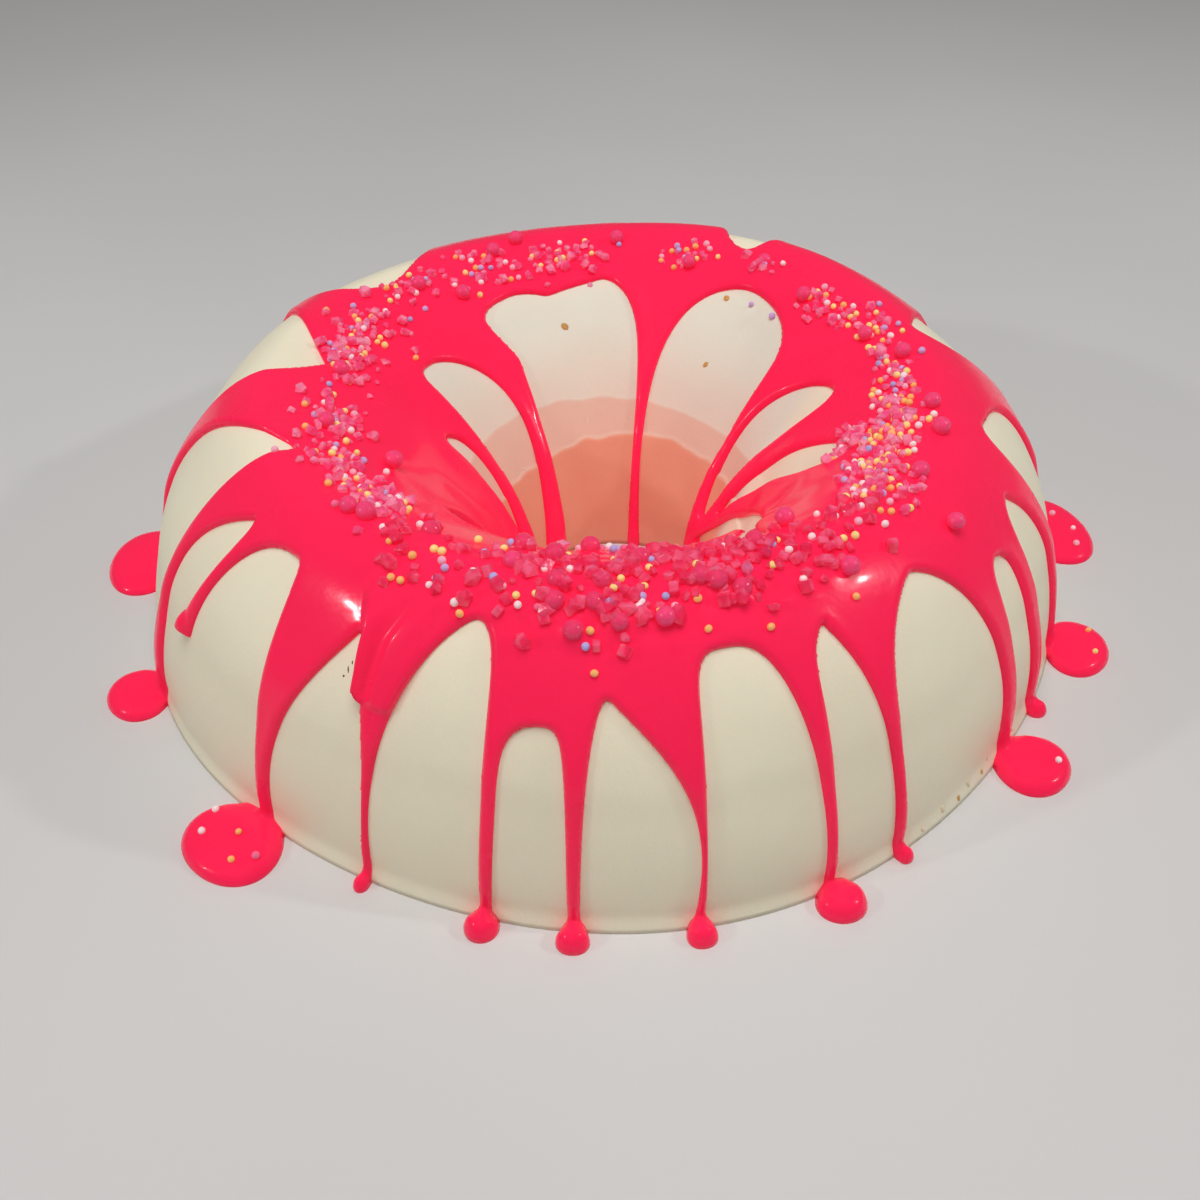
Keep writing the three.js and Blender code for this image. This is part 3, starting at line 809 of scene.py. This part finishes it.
def scaled(tree, factor, low, high):
    span = tree.nodes.new("ShaderNodeMapRange")
    span.inputs["From Min"].default_value = 0.3
    span.inputs["From Max"].default_value = 0.7
    span.inputs["To Min"].default_value = low
    span.inputs["To Max"].default_value = high
    tree.links.new(factor, span.inputs["Value"])
    return span.outputs["Result"]


def add_bump(tree, shader, heights, distance, strength=1.0):
    """Chains bumps of one or more heights into the shader's normal."""
    normal = None
    for height in heights:
        bump = tree.nodes.new("ShaderNodeBump")
        bump.inputs["Strength"].default_value = strength
        bump.inputs["Distance"].default_value = distance
        tree.links.new(height, bump.inputs["Height"])
        if normal is not None:
            tree.links.new(normal, bump.inputs["Normal"])
        normal = bump.outputs["Normal"]
        distance *= 0.5
    tree.links.new(normal, shader.inputs["Normal"])


def linear(rgb):
    """A colour given in screen values from 0 to 255, as the shader takes it."""
    share = np.array(rgb) / 255
    return tuple(np.where(share <= 0.04045, share / 12.92, ((share + 0.055) / 1.055) ** 2.4))


def shade(colour, factor):
    return tuple(min(value * factor, 1.0) for value in colour)


def frosting_material(colour, deep_colour):
    material, tree, shader = new_material(
        "whipped_frosting", Roughness=0.5, Subsurface_Weight=0.15, Subsurface_Radius=(0.012, 0.008, 0.004),
        Subsurface_Scale=0.4, IOR=1.4,
    )
    # The tint down the hole: partly thin pink frosting, partly painted shade and a painted pink reflection of
    # the glaze.
    pink_and_painted_shade = tree.nodes.new("ShaderNodeAttribute")
    pink_and_painted_shade.attribute_name = "pink_and_painted_shade"
    down_the_hole = blend_colours(tree, pink_and_painted_shade.outputs["Fac"], colour, deep_colour, 0.0, 1.0)
    # A greyer, cooler stop just inside the hole: painted shade.
    painted_shade_stop = down_the_hole.node.color_ramp.elements.new(0.15)
    painted_shade_stop.color = (colour[0] * 0.86, colour[1] * 0.93, colour[2] * 1.02, 1)
    patches = blend_colours(tree, object_noise(tree, 28.0, 4.0), (0.96, 0.96, 0.96), (1.0, 1.0, 1.0))
    mix = tree.nodes.new("ShaderNodeMix")
    mix.data_type = "RGBA"
    mix.blend_type = "MULTIPLY"
    mix.inputs["Factor"].default_value = 1.0
    tree.links.new(down_the_hole, mix.inputs["A"])
    tree.links.new(patches, mix.inputs["B"])
    tree.links.new(mix.outputs["Result"], shader.inputs["Base Color"])
    pores = object_noise(tree, 1100.0, 2.0)
    strokes = object_noise(tree, 70.0, 2.0, (1, 1, 2))
    add_bump(tree, shader, (strokes, pores), 0.0004, 0.25)
    return material


def glaze_material(colour):
    # The glaze's red emission is painted glow: it lifts the glaze where it lies in shade.
    material, tree, shader = new_material(
        "poured_syrup_glaze", Subsurface_Weight=0.2, Subsurface_Radius=(0.006, 0.001, 0.001),
        Subsurface_Scale=0.3, Coat_Weight=0.3, Coat_Roughness=0.08, Coat_IOR=1.3, IOR=1.22,
        Emission_Color=(1.0, 0.02, 0.08, 1.0), Emission_Strength=0.17,
    )
    patches = object_noise(tree, 35.0, 3.0)
    tree.links.new(blend_colours(tree, patches, shade(colour, 0.93), colour), shader.inputs["Base Color"])
    tree.links.new(scaled(tree, object_noise(tree, 60.0, 3.0), 0.2, 0.3), shader.inputs["Roughness"])
    add_bump(tree, shader, (object_noise(tree, 140.0, 2.0), object_noise(tree, 700.0, 1.0)), 0.0003, 0.2)
    return material


# Any emission given here is painted glow that brightens the sugar where it lies in shade.
def sugar_material(name, colour, roughness=0.45, painted_glow=0.0):
    material, tree, shader = new_material(
        name, Roughness=roughness, Subsurface_Weight=0.15, Subsurface_Radius=(0.001, 0.001, 0.001), IOR=1.45,
        Emission_Color=(*colour, 1.0), Emission_Strength=painted_glow,
    )
    mottle = object_noise(tree, 900.0, 2.0)
    tree.links.new(blend_colours(tree, mottle, shade(colour, 0.88), colour), shader.inputs["Base Color"])
    add_bump(tree, shader, (object_noise(tree, 2200.0, 1.0),), 0.0002, 0.3)
    return material


def crystal_material(name, colour, pale_colour):
    # The crystals' emission in their own colour is painted glow.
    material, tree, shader = new_material(
        name, Transmission_Weight=0.4, IOR=1.5, Subsurface_Weight=0.2,
        Subsurface_Radius=(0.002, 0.001, 0.001), Subsurface_Scale=0.5,
        Emission_Color=(*colour, 1.0), Emission_Strength=0.1,
    )
    cloud = object_noise(tree, 330.0, 1.0)
    tree.links.new(blend_colours(tree, cloud, colour, pale_colour, 0.4, 0.68), shader.inputs["Base Color"])
    tree.links.new(scaled(tree, object_noise(tree, 1500.0, 1.0), 0.03, 0.12), shader.inputs["Roughness"])
    return material


# Settings ---------------------------------------------------------------------------------------


class CakeSizes(bpy.types.PropertyGroup):
    """Sizes and colours that someone decorating the cake would change."""

    glaze_thickness: bpy.props.FloatProperty(
        name="Glaze thickness", description="How far the glaze stands off the frosting",
        default=0.0015, unit="LENGTH",
    )
    glaze_bead: bpy.props.FloatProperty(
        name="Glaze bead", description="How much thicker the glaze is just inside its edge",
        default=0.00006, unit="LENGTH",
    )
    frosting_colour: bpy.props.FloatVectorProperty(
        name="Frosting colour", description="Colour of the whipped frosting",
        default=linear((250, 241, 214)), subtype="COLOR", min=0, max=1,
    )
    # The deep colour is partly the thin pink frosting low in the hole and partly a painted pink reflection of
    # the glaze.
    deep_colour: bpy.props.FloatVectorProperty(
        name="Deep frosting colour", description="Colour of the thin pink frosting low in the hole",
        default=linear((234, 160, 132)), subtype="COLOR", min=0, max=1,
    )
    glaze_colour: bpy.props.FloatVectorProperty(
        name="Glaze colour", description="Colour of the poured glaze",
        default=linear((255, 37, 85)), subtype="COLOR", min=0, max=1,
    )


class SprinkleSizes(bpy.types.PropertyGroup):
    """Sizes of the sugar sprinkles."""

    bead_diameter: bpy.props.FloatProperty(
        name="Bead diameter", description="Diameter of the small round sprinkles",
        default=0.00175, unit="LENGTH",
    )
    pearl_diameter: bpy.props.FloatProperty(
        name="Pearl diameter", description="Diameter of the pink sugar pearls",
        default=0.0042, unit="LENGTH",
    )
    crystal_size: bpy.props.FloatProperty(
        name="Crystal size", description="Middle size of the clear sugar crystals",
        default=0.0027, unit="LENGTH",
    )


# Operators --------------------------------------------------------------------------------------


# The middle of the side of the hole where the frosting was spread thickly and the light falls straight in: it
# gets no painted shade and no painted pink reflection.
THICK_LIT_SIDE = -36.0


def hole_pink_and_painted_shade(angle, reach):
    """How grey and pink the frosting is made in the hole. Part is real: the frosting thins out in steps at
    the ledges on the way down the hole. Part is painted shade just inside the hole and a painted pink
    reflection of the glaze. It leaves out the side where the frosting was spread thickly and lit straight on."""
    upper, lower = ledges(angle)
    # The first two terms are painted shade, a greyer tone just inside the hole; the steps at the ledges are
    # partly thin pink frosting and partly a painted pink reflection of the glaze.
    pink_and_painted_shade = 0.15 * smoothstep(reach, 84.0, 108.0) + 0.15 * smoothstep(reach, 110.0, upper)
    pink_and_painted_shade = pink_and_painted_shade + 0.32 * smoothstep(reach, upper - 0.4, upper + 0.5)
    pink_and_painted_shade = pink_and_painted_shade + 0.38 * smoothstep(reach, lower - 0.4, lower + 0.5)
    return pink_and_painted_shade * smoothstep(abs(turned_near(angle, THICK_LIT_SIDE) - THICK_LIT_SIDE), 44.0, 56.0)


class CAKE_OT_frosting(bpy.types.Operator):
    """Build the frosted ring: one smooth hand-spread coat from the foot of the wall into the hole."""

    bl_idname = "cake.frosting"
    bl_label = "Frosted ring"

    def execute(self, context):
        sizes = context.scene.cake_sizes
        reaches = np.concatenate((
            np.linspace(0.0, 30.0, 26), np.linspace(31.0, 40.0, 13), np.linspace(41.5, CREST_REACH, 30),
            np.linspace(CREST_REACH + 1.4, 130.0, 36), np.linspace(130.5, 150.0, 40),
            np.linspace(151.2, WHOLE_REACH, 18),
        ))
        bm = unrolled_tube(reaches, 400)
        angle, reach = layout(bm.verts)
        feet = [edge for edge in bm.edges if edge.is_boundary]
        move_to(bm.verts, surface(angle, reach, 0.0))
        # The tint down the hole: partly thin pink frosting, partly painted shade and a painted pink reflection
        # of the glaze.
        pink_and_painted_shade = bm.verts.layers.float.new("pink_and_painted_shade")
        for vert, share in zip(bm.verts, hole_pink_and_painted_shade(angle, reach)):
            vert[pink_and_painted_shade] = share
        bmesh.ops.bridge_loops(bm, edges=feet)
        material = frosting_material(tuple(sizes.frosting_colour), tuple(sizes.deep_colour))
        piece = finish_piece(bm, "frosting_ring", [material])
        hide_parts("frosted_ring_cake")
        return {"FINISHED"}


class CAKE_OT_glaze(bpy.types.Operator):
    """Pour the glaze: a coat with bare openings, drips that run down the wall and into the hole,
    and the pools that they end in."""

    bl_idname = "cake.glaze"
    bl_label = "Poured glaze"

    def execute(self, context):
        sizes = context.scene.cake_sizes
        rim = the_rim()
        bm = unrolled_tube(np.linspace(-26.0, WHOLE_REACH + 5.0, 84), 320)
        drop_outside(bm, rim, 3.0)
        refine(bm, rim, within=4.0, outside=2.0, longest=1.6)
        refine(bm, rim, within=2.2, outside=1.0, longest=0.8)
        drop_outside(bm, rim, 0.0)
        loose = [vert for vert in bm.verts if not vert.link_faces]
        bmesh.ops.delete(bm, geom=loose, context="VERTS")
        snap_rim(bm, rim, 2)
        edge_tree = soften_rim(bm, 7)
        grown = bmesh.ops.extrude_face_region(bm, geom=bm.faces[:], use_keep_orig=True)
        outer = {item for item in grown["geom"] if isinstance(item, bmesh.types.BMVert)}
        verts = bm.verts[:]
        angle, reach = layout(verts)
        on_frosting = surface(angle, reach, 0.0, run_up=None)
        depth = np.array([edge_tree.find(point)[2] for point in on_frosting])
        is_outer = np.array([vert in outer for vert in verts])
        lift = glaze_lift(angle, reach, depth, sizes.glaze_thickness / MM, sizes.glaze_bead / MM)
        past = np.minimum(reach, WHOLE_REACH - reach)
        inner = INNER_LIFT * smoothstep(past, 0.0, 2.0)
        places = surface(angle, reach, inner)
        places[is_outer] = surface(angle[is_outer], reach[is_outer], lift[is_outer], ROUNDED)
        move_to(verts, places)
        low = [vert for vert, near in zip(verts, past < 8.0) if near and vert in outer and vert.co.z > 0.0004]
        for _ in range(2):
            smooth(bm, low, 0.4)
        material = glaze_material(tuple(sizes.glaze_colour))
        piece = finish_piece(bm, "glaze_coat", [material])
        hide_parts("poured_glaze")
        return {"FINISHED"}




# Sprinkles --------------------------------------------------------------------------------------

# Which number of a heap says how many beads, and how many crystals, lie in it.
BEAD_COUNT, CRYSTAL_COUNT = 4, 5

# How near a loose piece may lie to the glaze's edge and to the next piece, as shares of its size.
EDGE_GAP = 0.35
NEXT_GAP = 0.85


def scatter(seed, column, size):
    """Places for loose pieces in their heaps, kept off each other, and on the glaze apart from the
    heap that lies on bare frosting."""
    draw = np.random.default_rng(seed)
    heaps = (*HEAPS, BARE_HEAP)
    counts = [heap[column] for heap in heaps]
    rows = [
        draw.normal(size=(heap[column] * 3, 2)) * (heap[2] / 2, heap[3] / 2) + heap[:2] for heap in heaps
    ]
    wanted = np.repeat(np.arange(len(rows)), [len(row) for row in rows])
    spots = np.concatenate(rows)
    depth = signed_depth(the_rim(), spots[:, 0], spots[:, 1])
    points = surface(spots[:, 0], spots[:, 1], 0.0)
    taken = dict.fromkeys(range(len(heaps)), 0)
    kept = []
    for index, heap in enumerate(wanted):
        on_bare = heap == len(heaps) - 1
        if taken[heap] >= counts[heap] or (depth[index] < size * EDGE_GAP and not on_bare):
            continue
        near = points[kept]
        if len(near) and np.min(np.linalg.norm(near - points[index], axis=1)) < size * NEXT_GAP:
            continue
        kept.append(index)
        taken[heap] += 1
    return spots[kept], depth[kept]


def seat(angle, reach, depth, radius, sink):
    """Middle of a sprinkle on the glaze or the frosting, sunk in by a share of its radius, never
    standing above the cake's own box."""
    sizes = bpy.context.scene.cake_sizes
    lift = glaze_lift(angle, reach, np.maximum(depth, 0.0), sizes.glaze_thickness / MM, sizes.glaze_bead / MM)
    lift = np.where(depth > 0, lift, 0.0)
    middle = surface(angle, reach, lift + radius * (1 - sink), ROUNDED)
    top = CAD_BOX[1][2] / MM - 1.25 * radius
    middle[:, 2] = np.minimum(middle[:, 2], top)
    return middle


def placed(middle, turn, stretch):
    """The matrix that stretches a shape, turns it and moves it to its place."""
    return Matrix.Translation(Vector(middle) * MM) @ turn.to_4x4() @ Matrix.Diagonal((*stretch, 1))


def colour_faces(verts, slot):
    for face in {face for vert in verts for face in vert.link_faces}:
        face.material_index = slot
    return verts


def add_bead(bm, matrix, radius, subdivisions, slot):
    made = bmesh.ops.create_icosphere(bm, subdivisions=subdivisions, radius=radius * MM, matrix=matrix)
    return colour_faces(made["verts"], slot)


def add_block(bm, matrix, side, bevel, slot):
    verts = colour_faces(bmesh.ops.create_cube(bm, size=side * MM, matrix=matrix)["verts"], slot)
    edges = list({edge for vert in verts for edge in vert.link_edges})
    bmesh.ops.bevel(
        bm, geom=edges, offset=bevel * MM, segments=1, profile=0.5, affect="EDGES", material=-1,
    )


def roughen(verts, draw, distance):
    for vert in verts:
        vert.co += Vector(draw.normal(size=3)) * distance * MM


def random_turn(draw):
    axis = Vector(draw.normal(size=3)).normalized()
    return Matrix.Rotation(draw.uniform(0, 2 * math.pi), 3, axis)


BEAD_COLOURS = (
    ("yellow_sugar", (255, 222, 142), 0.26), ("orange_sugar", (255, 184, 112), 0.20),
    ("white_sugar", (252, 226, 230), 0.19), ("pale_pink_sugar", (252, 176, 198), 0.13),
    ("lilac_sugar", (206, 170, 222), 0.10), ("violet_sugar", (180, 172, 228), 0.04),
    ("rose_sugar", (250, 110, 150), 0.08),
)


class CAKE_OT_beads(bpy.types.Operator):
    """Scatter the small round sugar beads, in seven colours."""

    bl_idname = "cake.beads"
    bl_label = "Sugar beads"

    def execute(self, context):
        size = context.scene.sprinkle_sizes.bead_diameter / MM
        draw = np.random.default_rng(5)
        spots, depth = scatter(3, BEAD_COUNT, size)
        slots = draw.choice(len(BEAD_COLOURS), size=len(spots), p=[share for _, _, share in BEAD_COLOURS])
        strays = np.array(STRAY_BEADS, float)
        spots = np.concatenate((spots, strays[:, :2]))
        depth = np.concatenate((depth, signed_depth(the_rim(), strays[:, 0], strays[:, 1])))
        slots = np.concatenate((slots, strays[:, 2]))
        radius = size / 2 * draw.uniform(0.88, 1.1, len(spots))
        middle = seat(spots[:, 0], spots[:, 1], depth, radius, draw.uniform(0.15, 0.6, len(spots)))
        bm = bmesh.new()
        for place, r, slot in zip(middle, radius, slots):
            stretch = draw.uniform(0.9, 1.08, 3)
            add_bead(bm, placed(place, random_turn(draw), stretch), r, 2, int(slot))
        # The beads get a little painted glow.
        materials = [sugar_material(name, linear(colour), painted_glow=0.12) for name, colour, _ in BEAD_COLOURS]
        finish_piece(bm, "sugar_beads", materials)
        return {"FINISHED"}


class CAKE_OT_pearls(bpy.types.Operator):
    """Set the larger pink sugar pearls, some of them coated by the wet glaze."""

    bl_idname = "cake.pearls"
    bl_label = "Sugar pearls"

    def execute(self, context):
        size = context.scene.sprinkle_sizes.pearl_diameter / MM
        draw = np.random.default_rng(8)
        bm = bmesh.new()
        for slot, (spots, low, high) in enumerate(((BARE_PEARLS, 0.1, 0.4), (COATED_PEARLS, 0.7, 1.2))):
            angle, reach = np.array(spots, float).T
            depth = signed_depth(the_rim(), angle, reach)
            radius = size / 2 * draw.uniform(0.92, 1.05, len(angle))
            middle = seat(angle, reach, depth, radius, draw.uniform(low, high, len(angle)))
            for place, r in zip(middle, radius):
                stretch = draw.uniform(0.97, 1.03, 3)
                add_bead(bm, placed(place, random_turn(draw), stretch), r, 3, slot)
        # Both pearl finishes get a little painted glow.
        materials = [
            sugar_material("pink_pearl_sugar", linear((252, 72, 124)), roughness=0.3, painted_glow=0.1),
            sugar_material("glazed_pearl_sugar", linear((244, 62, 108)), roughness=0.2, painted_glow=0.1),
        ]
        finish_piece(bm, "sugar_pearls", materials)
        return {"FINISHED"}


# How closely the crystals crowd, how much syrup adds to the coated ones, how many of all are blocks,
# and a block's side and bevel for a radius of one.
CROWDING = 0.65
WET_GROWTH = 1.25
BLOCK_SHARE = 0.4
BLOCK_SIDE = 1.35
BLOCK_BEVEL = 0.16


class CAKE_OT_crystals(bpy.types.Operator):
    """Scatter the clear pink sugar crystals: small faceted lumps and blocks."""

    bl_idname = "cake.crystals"
    bl_label = "Sugar crystals"

    def execute(self, context):
        size = context.scene.sprinkle_sizes.crystal_size / MM
        draw = np.random.default_rng(21)
        spots, depth = scatter(17, CRYSTAL_COUNT, size * CROWDING)
        wet = detailed(spots[:, 0], spots[:, 1])
        radius = size / 2 * draw.uniform(0.55, 1.25, len(spots)) * np.where(wet, WET_GROWTH, 1.0)
        sink = draw.uniform(0.25, 0.75, len(spots)) + 0.15 * wet
        middle = seat(spots[:, 0], spots[:, 1], depth, radius, sink)
        bm = bmesh.new()
        for place, r, slot in zip(middle, radius, wet.astype(int)):
            stretch = draw.uniform(0.75, 1.25, 3)
            is_block = draw.random() < BLOCK_SHARE
            matrix = placed(place, random_turn(draw), stretch)
            if is_block:
                add_block(bm, matrix, BLOCK_SIDE * r, BLOCK_BEVEL * r, slot)
            else:
                roughen(add_bead(bm, matrix, r, 1, slot), draw, 0.12 * r)
        materials = [
            crystal_material("clear_pink_sugar", linear((250, 90, 148)), linear((255, 186, 214))),
            crystal_material("glazed_pink_sugar", linear((244, 54, 104)), linear((253, 128, 168))),
        ]
        finish_piece(bm, "sugar_crystals", materials, rounded=False)
        return {"FINISHED"}


class CAKE_OT_crumbs(bpy.types.Operator):
    """Leave the few crumbs, chips and dark scuffs on the bare frosting."""

    bl_idname = "cake.crumbs"
    bl_label = "Crumbs"

    def execute(self, context):
        draw = np.random.default_rng(41)
        bm = bmesh.new()
        for angle, reach, length, width, slot in CRUMBS:
            base = Vector(surface(angle, reach, 0.0))
            outward = (Vector(surface(angle, reach, 1.0)) - base).normalized()
            upward = (Vector(surface(angle, reach + 1.0, 0.0)) - base).normalized()
            sideways = upward.cross(outward).normalized()
            turn = Matrix((sideways, outward.cross(sideways), outward)).transposed()
            turn = turn @ Matrix.Rotation(draw.uniform(-0.6, 0.6), 3, "Z")
            matrix = placed(base, turn, (width, length, 0.45 * width))
            roughen(add_bead(bm, matrix, 0.5, 2, slot), draw, 0.04 * width)
        colours = (
            ("brown_crumb", (214, 164, 96)), ("pink_crumb", (240, 150, 176)),
            ("pale_chip", (242, 222, 190)), ("dark_scuff", (70, 52, 46)),
        )
        materials = [sugar_material(name, linear(colour), roughness=0.7) for name, colour in colours]
        finish_piece(bm, "crumbs", materials)
        return {"FINISHED"}


# The area lights: place in metres, size, power in watts, and whether the light glints in the glaze.
# The two large ones only light it softly.
LIGHTS = (
    ("overhead", (0.0, -0.2, 1.15), 0.7, 8.3, False),
    ("left_spot", (-0.95, -0.4, 0.6), 0.05, 1.8, True),
    ("right_spot", (0.9, -0.1, 0.7), 0.05, 1.8, True),
    ("front_fill", (-0.35, -0.6, 1.2), 0.8, 1.0, False),
)

# The camera: millimetres for its place and its lens, degrees for its tilt and its roll.
CAMERA_PLACE = (-2.0, -270.85, 220.3)
CAMERA_LENS = 36.0
CAMERA_TILT = 49.217
CAMERA_ROLL = -0.294


class CAKE_OT_stage(bpy.types.Operator):
    """Set the pale floor, the soft lights and the camera."""

    bl_idname = "cake.stage"
    bl_label = "Stage"

    def execute(self, context):
        scene = context.scene
        bm = bmesh.new()
        bmesh.ops.create_grid(bm, x_segments=4, y_segments=4, size=3.0)
        material, tree, shader = new_material("pale_floor", Roughness=0.7)
        cloud = blend_colours(tree, object_noise(tree, 3.0, 2.0), (0.64, 0.63, 0.62), (0.68, 0.67, 0.66))
        tree.links.new(cloud, shader.inputs["Base Color"])
        new_object(bm, "floor", [material])
        for name, place, size, energy, glints in LIGHTS:
            lamp = bpy.data.lights.new(name, "AREA")
            lamp.size = size
            lamp.energy = energy
            light = bpy.data.objects.new(name, lamp)
            light.location = place
            light.visible_glossy = glints
            light.rotation_euler = (-Vector(place)).to_track_quat("-Z", "Y").to_euler()
            scene.collection.objects.link(light)
        world = bpy.data.worlds.new("soft_room")
        world.use_nodes = True
        world.node_tree.nodes["Background"].inputs["Color"].default_value = (1.0, 0.97, 0.93, 1)
        world.node_tree.nodes["Background"].inputs["Strength"].default_value = 0.12
        scene.world = world
        scene.view_settings.view_transform = "Standard"
        lens = bpy.data.cameras.new("camera")
        lens.lens = CAMERA_LENS
        lens.sensor_width = 36.0
        lens.clip_start = 0.01
        camera = bpy.data.objects.new("camera", lens)
        tilt = Matrix.Rotation(math.radians(CAMERA_TILT), 4, "X")
        roll = Matrix.Rotation(math.radians(CAMERA_ROLL), 4, "Z")
        camera.matrix_world = Matrix.Translation(Vector(CAMERA_PLACE) * MM) @ (tilt @ roll)
        scene.collection.objects.link(camera)
        scene.camera = camera
        return {"FINISHED"}


class CAKE_PT_panel(bpy.types.Panel):
    bl_label = "Ring ice cream cake"
    bl_space_type = "VIEW_3D"
    bl_region_type = "UI"
    bl_category = "Cake"

    def draw(self, context):
        for sizes in (context.scene.cake_sizes, context.scene.sprinkle_sizes):
            for name in sizes.__annotations__:
                self.layout.prop(sizes, name)
        for operator in OPERATORS:
            self.layout.operator(operator.bl_idname)


OPERATORS = (
    CAKE_OT_frosting, CAKE_OT_glaze, CAKE_OT_beads, CAKE_OT_pearls, CAKE_OT_crystals, CAKE_OT_crumbs,
    CAKE_OT_stage,
)
CLASSES = (CakeSizes, SprinkleSizes, *OPERATORS, CAKE_PT_panel)


def register():
    for each in CLASSES:
        bpy.utils.register_class(each)
    bpy.types.Scene.cake_sizes = bpy.props.PointerProperty(type=CakeSizes)
    bpy.types.Scene.sprinkle_sizes = bpy.props.PointerProperty(type=SprinkleSizes)


def unregister():
    del bpy.types.Scene.sprinkle_sizes
    del bpy.types.Scene.cake_sizes
    for each in reversed(CLASSES):
        bpy.utils.unregister_class(each)


def main():
    register()
    bpy.ops.cake.frosting()
    bpy.ops.cake.glaze()
    bpy.ops.cake.beads()
    bpy.ops.cake.pearls()
    bpy.ops.cake.crystals()
    bpy.ops.cake.crumbs()
    bpy.ops.cake.stage()


if __name__ == "__main__":
    main()
